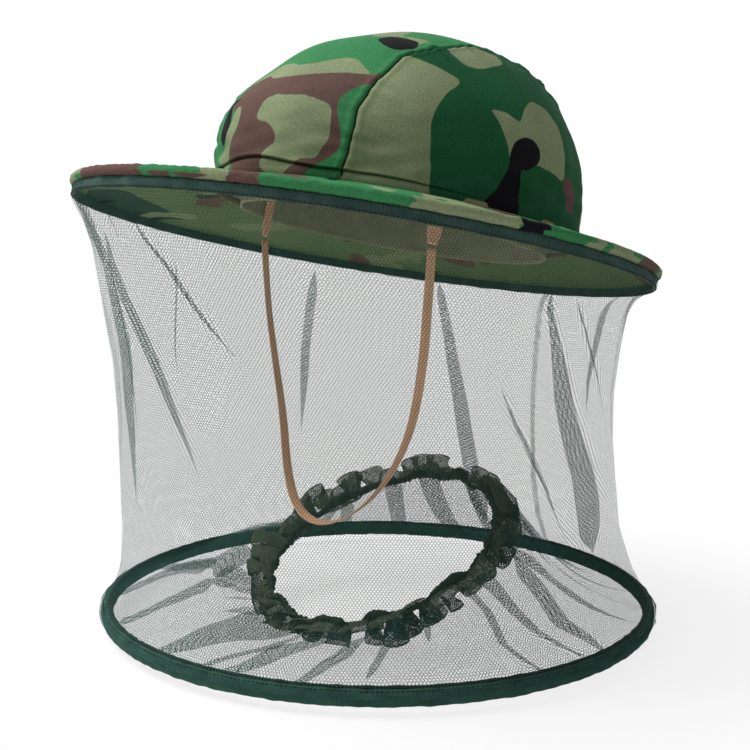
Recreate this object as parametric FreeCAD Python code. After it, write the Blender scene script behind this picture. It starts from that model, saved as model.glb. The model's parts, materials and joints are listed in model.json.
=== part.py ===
"""Beekeeping veil: a domed cloth hat with a stiff round brim, a net veil that hangs from the
brim to a spring-steel hoop, a net skirt with an elastic neck collar, and a chin strap.

Millimetres. The origin is the middle of the head opening, +Z is up, and the wearer looks
along -Y with the left ear towards +X. The lower hoop lies level. The hat sits tilted back.
"""
import FreeCAD, Part
import math
import os

from FreeCAD import Placement, Rotation, Vector

# ---- Hat ----
HAT_TILT = 11.9               # degrees, front of the brim up
CROWN_ROOM_SIDE = 21.5        # crown's outside beyond the head opening, over each ear
CROWN_ROOM_END = 19.0         # the same at the front and at the back
CROWN_HEIGHT = 107.0          # dome above its base tape
CROWN_FULLNESS = (2.15, 2.14)  # exponents of the dome's profile, along the height and outwards
CROWN_LEAN = 0.06             # how far the dome leans back, as a share of its height
CROWN_CLOTH = 1.4
LINING_CLOTH = 1.0
SEAM_TAPE_THICKNESS = 0.7
SEAM_TAPE_WIDTH = 12.0
CENTRE_PANEL_FOOT = 119.0     # width of the front-to-back panel at the brim
CENTRE_PANEL_TOP = 105.0      # and at the height of the dome's top
BASE_TAPE_THICKNESS = 2.2
BASE_TAPE_TOP = 5.0
BASE_TAPE_BOTTOM = -4.0

# ---- Head opening ----
HEAD_WIDTH = 168.0
HEAD_LENGTH = 200.0
HEADBAND_THICKNESS = 1.6
HEADBAND_TOP = 26.0
HEADBAND_BOTTOM = -10.0
GUSSET_THICKNESS = 1.4

# ---- Brim ----
BRIM_DIAMETER = 344.0         # middle of the rolled edge
BRIM_FORWARD = 23.4           # brim's middle in front of the crown's
BRIM_DROP = 14.0              # from the head opening down to the rolled edge
BRIM_CLOTH = 1.2
INTERLINING_THICKNESS = 1.6
EDGE_ROLL_DIAMETER = 7.0
EDGE_WIRE_DIAMETER = 2.0
FERRULE_WALL = 0.7
FERRULE_LENGTH = 16.0
BINDING_HEIGHT = 7.0
BINDING_THICKNESS = 1.6

# ---- Lower hoop ----
HOOP_DIAMETER = 333.2         # middle of the section
HOOP_BELOW = 234.4            # middle of the hoop below the head opening
HOOP_Y = -15.0
HOOP_BINDING_WIDTH = 8.0
HOOP_BINDING_HEIGHT = 11.0
HOOP_BINDING_CORNER = 2.5
HOOP_STEEL_HEIGHT = 5.0
HOOP_STEEL_THICKNESS = 0.6
HOOP_TAPE_WIDTH = 1.6
HOOP_TAPE_HEIGHT = 1.2

# ---- Nets ----
NET_THICKNESS = 0.5
VEIL_PULL = ((0.12, 9.5), (0.36, 20.5), (0.62, 21.5), (0.86, 17.0))  # (share of the fall, waist's depth)
VEIL_SEAM_WIDTH = 6.0
VEIL_SEAM_THICKNESS = 0.6

# ---- Collar ----
COLLAR_INNER_RADIUS = 70.0
COLLAR_CASING_WIDTH = 8.0
COLLAR_CASING_HEIGHT = 7.0
COLLAR_TILT = 26.0            # degrees, front down
COLLAR_ABOVE_HOOP = 37.4
COLLAR_BEHIND_HOOP = 4.0
ELASTIC_DIAMETER = 2.4
FRILL_WIDTH = 14.0
FRILL_THICKNESS = 3.5

# ---- Chin strap ----
STRAP_TUBE_DIAMETER = 3.0
TAB_Y = -41.0                 # tabs in front of the opening's middle, along the tilted hat
TAB_TOP = 5.0                 # along the tilted hat, inside the headband
TAB_FOOT = -21.0
TAB_WIDTH = 10.0
TAB_THICKNESS = 1.6
STRAP_TURN_SHARE = 0.45       # of the shorter run, used by each rounded corner

# ---- Clearances ----
CLOTH_GAP = 0.2               # between plies and trims sewn together
SLEEVE_GAP = 0.1              # round wires inside their sleeves
PIVOT_GAP = 0.3               # between the strap's end and its tab

DOME_STEPS = 10               # points that carry the dome's profile
CROWN_WIDTH = HEAD_WIDTH + 2 * CROWN_ROOM_SIDE
CROWN_LENGTH = HEAD_LENGTH + 2 * CROWN_ROOM_END
BRIM_RADIUS = BRIM_DIAMETER / 2
HOOP_RADIUS = HOOP_DIAMETER / 2
BRIM_STACK = 2 * BRIM_CLOTH + INTERLINING_THICKNESS + 2 * CLOTH_GAP
UP = Vector(0, 0, 1)
ORIGIN = Vector(0, 0, 0)

HAT_FRAME = Placement(ORIGIN, Rotation(Vector(1, 0, 0), -HAT_TILT))
HOOP_FRAME = Placement(Vector(0, HOOP_Y, -HOOP_BELOW), Rotation())
COLLAR_FRAME = Placement(
    Vector(0, HOOP_Y + COLLAR_BEHIND_HOOP, COLLAR_ABOVE_HOOP - HOOP_BELOW),
    Rotation(Vector(1, 0, 0), COLLAR_TILT),
)
BRIM_MIDDLE = Vector(0, -BRIM_FORWARD, -BRIM_DROP)


def save(shape, node, frame=None):
    """Writes one solid to parts/NODE.step, placed by its frame."""
    if frame is not None:
        shape = shape.copy()
        shape.Placement = frame.multiply(shape.Placement)
    if len(shape.Solids) != 1 or not shape.isValid():
        raise ValueError(f"{node}: {len(shape.Solids)} solids, valid {shape.isValid()}")
    shape.Solids[0].exportStep(f"parts/{node}.step")


# ---- Shared shapes ----
def oval(half_x, half_y, height=0.0):
    """A flat oval edge about the Z axis, starting on +Y and heading for -X."""
    centre = Vector(0, 0, height)
    front = centre + Vector(0, half_y, 0)
    if half_y >= half_x:
        return Part.Ellipse(front, centre - Vector(half_x, 0, 0), centre).toShape()
    quarter = math.pi / 2
    return Part.Ellipse(centre + Vector(half_x, 0, 0), front, centre).toShape(quarter, 5 * quarter)


def ring_edge(radius, centre=ORIGIN):
    """A round edge about an upright line, starting on +Y like an oval's."""
    circle = Part.Circle(ORIGIN, UP, radius).toShape()
    circle.rotate(ORIGIN, UP, 90)
    circle.translate(centre)
    return circle


def oval_block(half_x, half_y, bottom, top):
    return Part.Face(Part.Wire(oval(half_x, half_y, bottom))).extrude(Vector(0, 0, top - bottom))


def oval_band(inner_x, inner_y, wall, bottom, top):
    """An upright oval band, its wall outside the given half widths."""
    outer = oval_block(inner_x + wall, inner_y + wall, bottom, top)
    return outer.cut(oval_block(inner_x, inner_y, bottom, top))


def turned(face, centre=ORIGIN, start=0.0, sweep=360.0):
    """Turns a face in the XZ plane about the upright line through the centre."""
    face = face.copy()
    face.translate(centre)
    face.rotate(centre, UP, start)
    return face.revolve(centre, UP, sweep)


def plain_section(inner, outer, bottom, top):
    """A rectangle in the XZ plane."""
    outline = [(inner, bottom), (outer, bottom), (outer, top), (inner, top), (inner, bottom)]
    return Part.Face(Part.makePolygon([Vector(x, 0, z) for x, z in outline]))


def soft_section(inner, outer, bottom, top, corner):
    """A rectangle in the XZ plane with round corners."""
    solid = plain_section(inner, outer, bottom, top).extrude(Vector(0, 1, 0))
    uprights = [e for e in solid.Edges if abs(e.tangentAt(e.FirstParameter).y) > 0.9]
    rounded = solid.makeFillet(corner, uprights)
    return min(rounded.Faces, key=lambda face: abs(face.CenterOfMass.y) + face.BoundBox.YLength)


def round_section(radius, distance, height=0.0):
    """A disc in the XZ plane."""
    circle = Part.Circle(Vector(distance, 0, height), Vector(0, 1, 0), radius).toShape()
    return Part.Face(Part.Wire(circle))


def ruled_ply(inner_low, outer_low, inner_high, outer_high):
    """A closed thin sheet between four closed edges."""
    faces = [
        Part.makeRuledSurface(inner_low, outer_low),
        Part.makeRuledSurface(inner_high, outer_high),
        Part.makeRuledSurface(inner_low, inner_high),
        Part.makeRuledSurface(outer_low, outer_high),
    ]
    shell = Part.makeShell([f for shape in faces for f in shape.Faces])
    shell.sewShape()
    solid = Part.Solid(shell)
    if solid.Volume < 0:
        solid.reverse()
    return solid


# ---- Crown ----
def dome_radius(share, half_width):
    """Half width of the dome at a share of its height."""
    along, outwards = CROWN_FULLNESS
    return half_width * (1 - share ** along) ** (1 / outwards)


def dome_line(depth):
    """The dome's profile in the XZ plane, set in from the outside by a depth."""
    half_width = CROWN_WIDTH / 2 - depth
    height = CROWN_HEIGHT - depth
    points = []
    for step in range(DOME_STEPS + 1):
        share = math.sin(math.radians(90 * step / DOME_STEPS))
        points.append(Vector(dome_radius(share, half_width), 0, BASE_TAPE_TOP + height * share))
    spline = Part.BSplineCurve()
    spline.interpolate(Points=points, InitialTangent=Vector(0, 0, 1), FinalTangent=Vector(-1, 0, 0))
    return spline.toShape(), points[0], points[-1]


def dome_shell(depth, thickness):
    """A dome-shaped layer, stretched to the crown's length and leaning back."""
    outer, outer_base, outer_top = dome_line(depth)
    inner, inner_base, inner_top = dome_line(depth + thickness)
    base = Part.makeLine(inner_base, outer_base)
    top = Part.makeLine(outer_top, inner_top)
    face = Part.Face(Part.Wire(Part.__sortEdges__([base, outer, top, inner])))
    stretch = FreeCAD.Matrix()
    stretch.scale(1.0, CROWN_LENGTH / CROWN_WIDTH, 1.0)
    stretch.A23 = CROWN_LEAN
    stretch.A24 = -CROWN_LEAN * BASE_TAPE_TOP
    return turned(face).transformGeometry(stretch)


def seam_slab(side_in, side_out):
    """A tall slab that runs front to back and leans in with a crown seam.

    Its two sides lie at the given distances outside the left seam."""
    foot = CENTRE_PANEL_FOOT / 2
    lean = (CENTRE_PANEL_FOOT - CENTRE_PANEL_TOP) / 2 / CROWN_HEIGHT
    low = BASE_TAPE_TOP - CROWN_HEIGHT
    high = BASE_TAPE_TOP + 2 * CROWN_HEIGHT
    low_x = foot - lean * (low - BASE_TAPE_TOP)
    high_x = foot - lean * (high - BASE_TAPE_TOP)
    outline = [
        (low_x + side_in, low),
        (low_x + side_out, low),
        (high_x + side_out, high),
        (high_x + side_in, high),
    ]
    points = [Vector(x, -CROWN_LENGTH, z) for x, z in outline + outline[:1]]
    return Part.Face(Part.makePolygon(points)).extrude(Vector(0, 2 * CROWN_LENGTH, 0))


def mirrored(shape):
    return shape.mirror(ORIGIN, Vector(1, 0, 0))


def make_crown():
    cloth = dome_shell(0, CROWN_CLOTH)
    outside = seam_slab(0, CROWN_WIDTH)
    left_panel = cloth.common(outside)
    save(left_panel, "crown_panel_left", HAT_FRAME)
    save(mirrored(left_panel), "crown_panel_right", HAT_FRAME)
    save(cloth.cut(outside).cut(mirrored(outside)), "crown_panel_centre", HAT_FRAME)
    tape_depth = CROWN_CLOTH + CLOTH_GAP
    tape_layer = dome_shell(tape_depth, SEAM_TAPE_THICKNESS)
    left_tape = tape_layer.common(seam_slab(-SEAM_TAPE_WIDTH / 2, SEAM_TAPE_WIDTH / 2))
    save(left_tape, "crown_seam_tape_left", HAT_FRAME)
    save(mirrored(left_tape), "crown_seam_tape_right", HAT_FRAME)
    lining_depth = tape_depth + SEAM_TAPE_THICKNESS + CLOTH_GAP
    save(dome_shell(lining_depth, LINING_CLOTH), "crown_lining", HAT_FRAME)
    base_tape = oval_band(
        CROWN_WIDTH / 2 - BASE_TAPE_THICKNESS,
        CROWN_LENGTH / 2 - BASE_TAPE_THICKNESS,
        BASE_TAPE_THICKNESS,
        BASE_TAPE_BOTTOM,
        BASE_TAPE_TOP,
    )
    save(base_tape, "crown_base_tape", HAT_FRAME)


# ---- Head opening ----
def make_headband():
    half_x = HEAD_WIDTH / 2
    half_y = HEAD_LENGTH / 2
    band = oval_band(half_x, half_y, HEADBAND_THICKNESS, HEADBAND_BOTTOM, HEADBAND_TOP)
    save(band, "headband", HAT_FRAME)
    reach = HEADBAND_THICKNESS + CLOTH_GAP
    outer_x = CROWN_WIDTH / 2 - BASE_TAPE_THICKNESS - CLOTH_GAP
    outer_y = CROWN_LENGTH / 2 - BASE_TAPE_THICKNESS - CLOTH_GAP
    gusset = oval_block(outer_x, outer_y, 0, GUSSET_THICKNESS)
    gusset = gusset.cut(oval_block(half_x + reach, half_y + reach, 0, GUSSET_THICKNESS))
    save(gusset, "headband_gusset", HAT_FRAME)


# ---- Brim ----
def brim_ply(low, thickness):
    """One layer of the brim, from the crown's foot out to the rolled edge."""
    inner_x = CROWN_WIDTH / 2 + CLOTH_GAP
    inner_y = CROWN_LENGTH / 2 + CLOTH_GAP
    outer = BRIM_RADIUS - EDGE_ROLL_DIAMETER / 2 - CLOTH_GAP
    high = low + thickness
    return ruled_ply(
        oval(inner_x, inner_y, low),
        ring_edge(outer, BRIM_MIDDLE + UP * low),
        oval(inner_x, inner_y, high),
        ring_edge(outer, BRIM_MIDDLE + UP * high),
    )


def make_brim():
    low = -BRIM_STACK / 2
    save(brim_ply(low, BRIM_CLOTH), "brim_underside", HAT_FRAME)
    low += BRIM_CLOTH + CLOTH_GAP
    save(brim_ply(low, INTERLINING_THICKNESS), "brim_interlining", HAT_FRAME)
    low += INTERLINING_THICKNESS + CLOTH_GAP
    save(brim_ply(low, BRIM_CLOTH), "brim_top", HAT_FRAME)


def sleeve_arc(length, radius, ring_radius, centre):
    """A round bar bent along a ring, centred on the back."""
    sweep = math.degrees(length / ring_radius)
    return turned(round_section(radius, ring_radius), centre, 90 - sweep / 2, sweep)


def make_brim_edge():
    wire_radius = EDGE_WIRE_DIAMETER / 2
    wire = turned(round_section(wire_radius, BRIM_RADIUS), BRIM_MIDDLE)
    save(wire, "brim_wire", HAT_FRAME)
    bore = wire_radius + SLEEVE_GAP
    ferrule = sleeve_arc(FERRULE_LENGTH, bore + FERRULE_WALL, BRIM_RADIUS, BRIM_MIDDLE)
    ferrule = ferrule.cut(turned(round_section(bore, BRIM_RADIUS), BRIM_MIDDLE))
    save(ferrule, "brim_wire_ferrule", HAT_FRAME)
    roll = turned(round_section(EDGE_ROLL_DIAMETER / 2, BRIM_RADIUS), BRIM_MIDDLE)
    roll = roll.cut(turned(round_section(bore, BRIM_RADIUS), BRIM_MIDDLE))
    pocket = sleeve_arc(
        FERRULE_LENGTH + 2 * SLEEVE_GAP, bore + FERRULE_WALL + SLEEVE_GAP, BRIM_RADIUS, BRIM_MIDDLE
    )
    save(roll.cut(pocket), "brim_edge_roll", HAT_FRAME)
    top = -EDGE_ROLL_DIAMETER / 2 - CLOTH_GAP
    binding = turned(
        plain_section(BRIM_RADIUS - BINDING_THICKNESS / 2, BRIM_RADIUS + BINDING_THICKNESS / 2,
                      top - BINDING_HEIGHT, top),
        BRIM_MIDDLE,
    )
    save(binding, "brim_binding", HAT_FRAME)


# ---- Nets ----
def veil_rings(outwards):
    """The veil's level rings from the brim's binding down to the hoop, set out by a distance."""
    head = HAT_FRAME.multVec(BRIM_MIDDLE - UP * (EDGE_ROLL_DIAMETER / 2 + CLOTH_GAP + BINDING_HEIGHT / 4))
    foot = Vector(0, HOOP_Y, -HOOP_BELOW + HOOP_BINDING_HEIGHT / 2 + CLOTH_GAP)
    head_radius = BRIM_RADIUS - BINDING_THICKNESS / 2 - CLOTH_GAP - NET_THICKNESS
    foot_radius = HOOP_RADIUS - HOOP_TAPE_WIDTH / 2 - CLOTH_GAP - NET_THICKNESS
    rings = []
    for share, pull in ((0.0, 0.0),) + VEIL_PULL + ((1.0, 0.0),):
        centre = head + (foot - head) * share
        ring = ring_edge(head_radius + (foot_radius - head_radius) * share - pull + outwards)
        ring.rotate(ORIGIN, Vector(1, 0, 0), -HAT_TILT * (1 - share) ** 2)
        ring.translate(centre)
        rings.append(Part.Wire(ring))
    return rings


def veil_layer(inner, thickness):
    outside = Part.makeLoft(veil_rings(inner + thickness), True)
    return outside.cut(Part.makeLoft(veil_rings(inner), True))


def make_veil():
    save(veil_layer(0, NET_THICKNESS), "veil_net")
    seam = veil_layer(-CLOTH_GAP - VEIL_SEAM_THICKNESS, VEIL_SEAM_THICKNESS)
    corner = Vector(-VEIL_SEAM_WIDTH / 2, 0, -1.5 * HOOP_BELOW)
    strip = Part.makeBox(VEIL_SEAM_WIDTH, BRIM_DIAMETER, 2 * HOOP_BELOW, corner)
    save(seam.common(strip), "veil_seam")


def skirt_edge(radius, height, frame):
    edge = ring_edge(radius, UP * height)
    edge.Placement = frame.multiply(edge.Placement)
    return edge


def make_skirt():
    foot = HOOP_RADIUS - HOOP_BINDING_WIDTH / 2 - CLOTH_GAP
    head = COLLAR_INNER_RADIUS + COLLAR_CASING_WIDTH + FRILL_WIDTH + 2 * CLOTH_GAP
    half = NET_THICKNESS / 2
    skirt = ruled_ply(
        skirt_edge(foot, -half, HOOP_FRAME),
        skirt_edge(head, -half, COLLAR_FRAME),
        skirt_edge(foot, half, HOOP_FRAME),
        skirt_edge(head, half, COLLAR_FRAME),
    )
    save(skirt, "skirt_net")


# ---- Lower hoop ----
def hoop_section(half_width, half_height):
    return plain_section(HOOP_RADIUS - half_width, HOOP_RADIUS + half_width, -half_height, half_height)


def make_hoop():
    half_width = HOOP_STEEL_THICKNESS / 2
    half_height = HOOP_STEEL_HEIGHT / 2
    save(turned(hoop_section(half_width, half_height)), "hoop_steel", HOOP_FRAME)
    gap = SLEEVE_GAP
    wall = FERRULE_WALL
    sweep = math.degrees(FERRULE_LENGTH / HOOP_RADIUS)
    bore = turned(hoop_section(half_width + gap, half_height + gap))
    sleeve = hoop_section(half_width + gap + wall, half_height + gap + wall)
    ferrule = turned(sleeve, start=90 - sweep / 2, sweep=sweep)
    save(ferrule.cut(bore), "hoop_ferrule", HOOP_FRAME)
    binding = turned(
        soft_section(
            HOOP_RADIUS - HOOP_BINDING_WIDTH / 2,
            HOOP_RADIUS + HOOP_BINDING_WIDTH / 2,
            -HOOP_BINDING_HEIGHT / 2,
            HOOP_BINDING_HEIGHT / 2,
            HOOP_BINDING_CORNER,
        )
    )
    long_sweep = math.degrees((FERRULE_LENGTH + 2 * gap) / HOOP_RADIUS)
    pocket = turned(
        hoop_section(half_width + 2 * gap + wall, half_height + 2 * gap + wall),
        start=90 - long_sweep / 2,
        sweep=long_sweep,
    )
    save(binding.cut(bore).cut(pocket), "hoop_binding", HOOP_FRAME)
    foot = HOOP_BINDING_HEIGHT / 2 + CLOTH_GAP / 2
    half = HOOP_TAPE_WIDTH / 2
    tape = turned(plain_section(HOOP_RADIUS - half, HOOP_RADIUS + half, foot, foot + HOOP_TAPE_HEIGHT))
    save(tape, "hoop_seam_tape", HOOP_FRAME)


# ---- Collar ----
def make_collar():
    middle = COLLAR_INNER_RADIUS + COLLAR_CASING_WIDTH / 2
    elastic_radius = ELASTIC_DIAMETER / 2
    elastic = turned(round_section(elastic_radius, middle))
    save(elastic, "collar_elastic", COLLAR_FRAME)
    bore = elastic_radius + SLEEVE_GAP
    join = sleeve_arc(FERRULE_LENGTH / 2, bore + FERRULE_WALL, middle, ORIGIN)
    join = join.cut(turned(round_section(bore, middle)))
    save(join, "collar_elastic_join", COLLAR_FRAME)
    casing = turned(
        soft_section(
            COLLAR_INNER_RADIUS,
            COLLAR_INNER_RADIUS + COLLAR_CASING_WIDTH,
            -COLLAR_CASING_HEIGHT / 2,
            COLLAR_CASING_HEIGHT / 2,
            COLLAR_CASING_HEIGHT / 3,
        )
    )
    pocket = sleeve_arc(FERRULE_LENGTH / 2 + 2 * SLEEVE_GAP, bore + FERRULE_WALL + SLEEVE_GAP, middle, ORIGIN)
    casing = casing.cut(turned(round_section(bore, middle))).cut(pocket)
    save(casing, "collar_casing", COLLAR_FRAME)
    frill_inner = COLLAR_INNER_RADIUS + COLLAR_CASING_WIDTH + CLOTH_GAP
    frill = turned(
        soft_section(
            frill_inner,
            frill_inner + FRILL_WIDTH,
            -FRILL_THICKNESS / 2,
            FRILL_THICKNESS / 2,
            FRILL_THICKNESS / 3,
        )
    )
    save(frill, "collar_frill", COLLAR_FRAME)


# ---- Chin strap ----
def headband_x(y):
    """Half width of the head opening at a distance in front of or behind its middle."""
    return HEAD_WIDTH / 2 * math.sqrt(1 - (y / (HEAD_LENGTH / 2)) ** 2)


TAB_X = headband_x(TAB_Y) - 2 * CLOTH_GAP - TAB_THICKNESS / 2
PIVOT = HAT_FRAME.multVec(Vector(TAB_X, TAB_Y, TAB_FOOT - PIVOT_GAP - STRAP_TUBE_DIAMETER / 2))
# The loop hangs from the left tab, under the chin and up to the right tab.
STRAP_ROUTE = [
    PIVOT,
    Vector(73.4, -45.4, -46.0),
    Vector(68.0, -44.0, -84.0),
    Vector(58.5, -44.2, -123.0),
    Vector(43.5, -47.0, -155.0),
    Vector(22.5, -51.0, -176.0),
    Vector(-1.0, -53.0, -184.0),
    Vector(-24.5, -51.5, -178.5),
    Vector(-43.0, -47.5, -158.0),
    Vector(-57.5, -44.5, -124.0),
    Vector(-67.5, -44.0, -85.0),
    Vector(-73.2, -45.2, -46.5),
    Vector(-PIVOT.x, PIVOT.y, PIVOT.z),
]


def strap_path(route):
    """Straight runs joined by tangent arcs, each as large as its two runs allow."""
    edges = []
    start = route[0]
    for before, corner, after in zip(route, route[1:], route[2:]):
        back = before - corner
        ahead = after - corner
        reach = STRAP_TURN_SHARE * min(back.Length, ahead.Length)
        back.normalize()
        ahead.normalize()
        half_turn = (math.pi - back.getAngle(ahead)) / 2
        radius = reach / math.tan(half_turn)
        print(f"strap turn {math.degrees(2 * half_turn):5.1f} deg, radius {radius:6.1f} mm")
        first = corner + back * reach
        last = corner + ahead * reach
        inward = back + ahead
        inward.normalize()
        middle = corner + inward * (radius / math.cos(half_turn) - radius)
        edges.append(Part.makeLine(start, first))
        edges.append(Part.Arc(first, middle, last).toShape())
        start = last
    edges.append(Part.makeLine(start, route[-1]))
    return Part.Wire(edges)


def make_strap():
    radius = STRAP_TUBE_DIAMETER / 2
    path = strap_path(STRAP_ROUTE)
    heading = STRAP_ROUTE[1] - STRAP_ROUTE[0]
    section = Part.Wire(Part.Circle(STRAP_ROUTE[0], heading, radius).toShape())
    tube = path.makePipeShell([section], True, False)
    share = tube.Volume / (math.pi * radius ** 2 * path.Length)
    print(f"strap length {path.Length:.1f} mm, volume against section times length {share:.4f}")
    ends = [Part.makeSphere(radius, end) for end in (STRAP_ROUTE[0], STRAP_ROUTE[-1])]
    save(tube.fuse(ends[0]).fuse(ends[1]).removeSplitter(), "chin_strap")


def make_strap_tabs():
    """Webbing tabs sewn inside the headband, each ending just above the strap's pivot."""
    slope = math.degrees(math.atan2(TAB_Y / (HEAD_LENGTH / 2) ** 2, TAB_X / (HEAD_WIDTH / 2) ** 2))
    for side, name in ((1, "left"), (-1, "right")):
        corner = Vector(-TAB_THICKNESS / 2, -TAB_WIDTH / 2, TAB_FOOT)
        tab = Part.makeBox(TAB_THICKNESS, TAB_WIDTH, TAB_TOP - TAB_FOOT, corner)
        tab.rotate(ORIGIN, UP, side * slope)
        tab.translate(Vector(side * TAB_X, TAB_Y, 0))
        save(tab, f"strap_tab_{name}", HAT_FRAME)
    print(f"strap pivot {PIVOT}")


def main():
    os.makedirs("parts", exist_ok=True)
    make_crown()
    make_headband()
    make_brim()
    make_brim_edge()
    make_veil()
    make_skirt()
    make_hoop()
    make_collar()
    make_strap()
    make_strap_tabs()


main()
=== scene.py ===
"""Beekeeping veil: a camouflage cloth hat, its net veil, lower hoop, skirt, collar and chin strap.

Sizes in the classes are millimetres and degrees; meshes are made in metres. Angles about the
upright axis start at the wearer's left ear (+X) and grow towards the back (+Y).
"""

import json
import logging
import math
from dataclasses import dataclass, field
from enum import Enum

import bmesh
import bpy
import numpy as np
from mathutils import Matrix, Vector


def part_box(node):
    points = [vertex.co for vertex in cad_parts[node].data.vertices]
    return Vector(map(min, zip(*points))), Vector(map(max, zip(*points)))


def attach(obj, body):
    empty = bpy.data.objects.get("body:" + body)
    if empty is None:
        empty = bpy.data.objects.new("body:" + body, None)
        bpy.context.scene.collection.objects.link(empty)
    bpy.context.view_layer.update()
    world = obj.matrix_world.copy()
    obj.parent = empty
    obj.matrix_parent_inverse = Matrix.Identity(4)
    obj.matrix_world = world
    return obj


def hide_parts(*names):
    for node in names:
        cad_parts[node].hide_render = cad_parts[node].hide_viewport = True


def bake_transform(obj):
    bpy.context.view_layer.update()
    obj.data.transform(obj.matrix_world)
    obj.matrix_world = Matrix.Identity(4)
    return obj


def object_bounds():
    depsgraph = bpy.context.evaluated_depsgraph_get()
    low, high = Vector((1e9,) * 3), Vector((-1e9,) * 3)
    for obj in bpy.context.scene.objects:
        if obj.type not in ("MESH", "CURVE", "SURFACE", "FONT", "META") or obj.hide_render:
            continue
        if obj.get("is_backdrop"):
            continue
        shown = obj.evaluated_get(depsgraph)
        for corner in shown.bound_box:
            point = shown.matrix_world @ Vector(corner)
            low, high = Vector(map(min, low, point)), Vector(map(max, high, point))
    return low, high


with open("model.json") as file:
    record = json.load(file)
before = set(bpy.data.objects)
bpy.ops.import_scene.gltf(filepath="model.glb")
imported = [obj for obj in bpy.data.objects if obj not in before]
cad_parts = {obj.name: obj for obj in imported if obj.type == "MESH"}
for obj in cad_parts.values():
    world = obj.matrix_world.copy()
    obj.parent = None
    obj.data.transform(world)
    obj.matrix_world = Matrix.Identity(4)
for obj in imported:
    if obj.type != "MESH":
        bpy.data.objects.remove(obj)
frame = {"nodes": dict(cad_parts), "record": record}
CAD_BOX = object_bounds()

LOG = logging.getLogger("beekeeping veil")
MM = 0.001
TURN = 2 * math.pi
CLOTH_MAP = "ClothMap"
MATH = "ShaderNodeMath"
VECTOR = "ShaderNodeVectorMath"
RANGE = "ShaderNodeMapRange"
NOISE = "ShaderNodeTexNoise"
MIX = "ShaderNodeMix"
Values = float | np.ndarray


class Body(str, Enum):
    """Bodies of the frame that pieces ride on."""

    HAT = "hat"
    HOOP = "lower_hoop"
    COLLAR = "collar"
    STRAP = "chin_strap"


class Tone(str, Enum):
    """Inks of the camouflage print, over its leaf-green ground, in the order they are printed; the dark green
    also serves as painted shade over the crown's left panel.
    """

    DARK_GREEN_AND_SHADE = "dark_green_and_shade"
    SAND = "sand"
    EARTH = "earth"
    SPECK = "speck"
    SHADE = "shade"


# ---------------------------------------------------------------- small tools
def linear(colour: str) -> tuple[float, float, float, float]:
    """Turns an sRGB hex colour into linear light.

    Args:
        colour: Six hex digits after a hash sign.

    Returns:
        Red, green, blue and full opacity.
    """
    parts = [int(colour[i : i + 2], 16) / 255 for i in (1, 3, 5)]
    light = [c / 12.92 if c <= 0.04045 else ((c + 0.055) / 1.055) ** 2.4 for c in parts]
    return light[0], light[1], light[2], 1.0


def add_node(
    tree: bpy.types.NodeTree, kind: str, inputs: dict | None = None, **settings: object
) -> bpy.types.Node:
    """Adds a node with its settings, values and links.

    Args:
        tree: Node tree that gets the node.
        kind: Node type.
        inputs: Values, or sockets or nodes to link, by input name or number; a node means its
            first output.
        settings: Properties of the node.

    Returns:
        The new node.
    """
    node = tree.nodes.new(kind)
    for name, value in settings.items():
        setattr(node, name, value)
    for key, value in (inputs or {}).items():
        if isinstance(value, bpy.types.Node):
            value = value.outputs[0]
        if isinstance(value, bpy.types.NodeSocket):
            tree.links.new(value, node.inputs[key])
        else:
            node.inputs[key].default_value = value
    return node


def smooth_step(low: float, high: float, value: np.ndarray) -> np.ndarray:
    """A smooth rise from 0 at low to 1 at high."""
    share = np.clip((value - low) / (high - low), 0, 1)
    return share * share * (3 - 2 * share)


def bell(value: np.ndarray) -> np.ndarray:
    """A bell curve, 1 at zero."""
    return np.exp(-(value**2))


@dataclass(frozen=True)
class Ripple:
    """Soft irregular waves over any number of coordinates, always the same for one seed."""

    seed: int
    shortest: float
    longest: float
    waves: int = 14

    def __call__(self, *axes: np.ndarray) -> np.ndarray:
        """Samples the waves.

        Args:
            axes: Coordinates in millimetres, one array for each axis.

        Returns:
            Heights of about one unit either side of zero.
        """
        draw = np.random.default_rng(self.seed)
        total = np.zeros(np.broadcast(*axes).shape) if len(axes) > 1 else np.zeros_like(axes[0])
        for _ in range(self.waves):
            length = draw.uniform(self.shortest, self.longest)
            heading = draw.normal(size=len(axes))
            heading /= np.linalg.norm(heading)
            along = sum(h * a for h, a in zip(heading, axes))
            total = total + np.sin(TURN * along / length + draw.uniform(0, TURN))
        return total / math.sqrt(self.waves / 2)


def around(columns: int) -> np.ndarray:
    """Even angles once round, without the last one."""
    return np.arange(columns) / columns * TURN


def oval(turn: Values, wide: Values, long: Values, height: Values) -> np.ndarray:
    """Points of rings about the upright axis, from their half width, half length and height."""
    return np.stack(np.broadcast_arrays(wide * np.cos(turn), long * np.sin(turn), height), -1)


def ring(turn: Values, reach: Values, height: Values) -> np.ndarray:
    """Points of round rings about the upright axis."""
    return oval(turn, reach, reach, height)


def squared_off(wave: np.ndarray, power: float) -> np.ndarray:
    """A sine or cosine filled out towards a square wave by a power below 1."""
    return np.sign(wave) * np.abs(wave) ** power


def turned_by(turn: np.ndarray, degrees: float) -> np.ndarray:
    """Angles from a heading in degrees, between half a turn either side."""
    return (turn - math.radians(degrees) + math.pi) % TURN - math.pi


def arc_length(line: np.ndarray) -> np.ndarray:
    """Distance along a line of points, from 0 at the first."""
    return np.concatenate([[0], np.cumsum(np.linalg.norm(np.diff(line, axis=0), axis=1))])


def laid_flat(along: np.ndarray, across: np.ndarray) -> np.ndarray:
    """Cloth map from the distance along each column and across each row."""
    return np.stack(np.broadcast_arrays(along[None, :], across[:, None]), -1)


def wrapped(columns: int, radius: float) -> np.ndarray:
    """Distances along a closed ring for a cloth map, with both ends of the cloth."""
    return np.linspace(0, TURN, columns + 1) * radius


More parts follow.
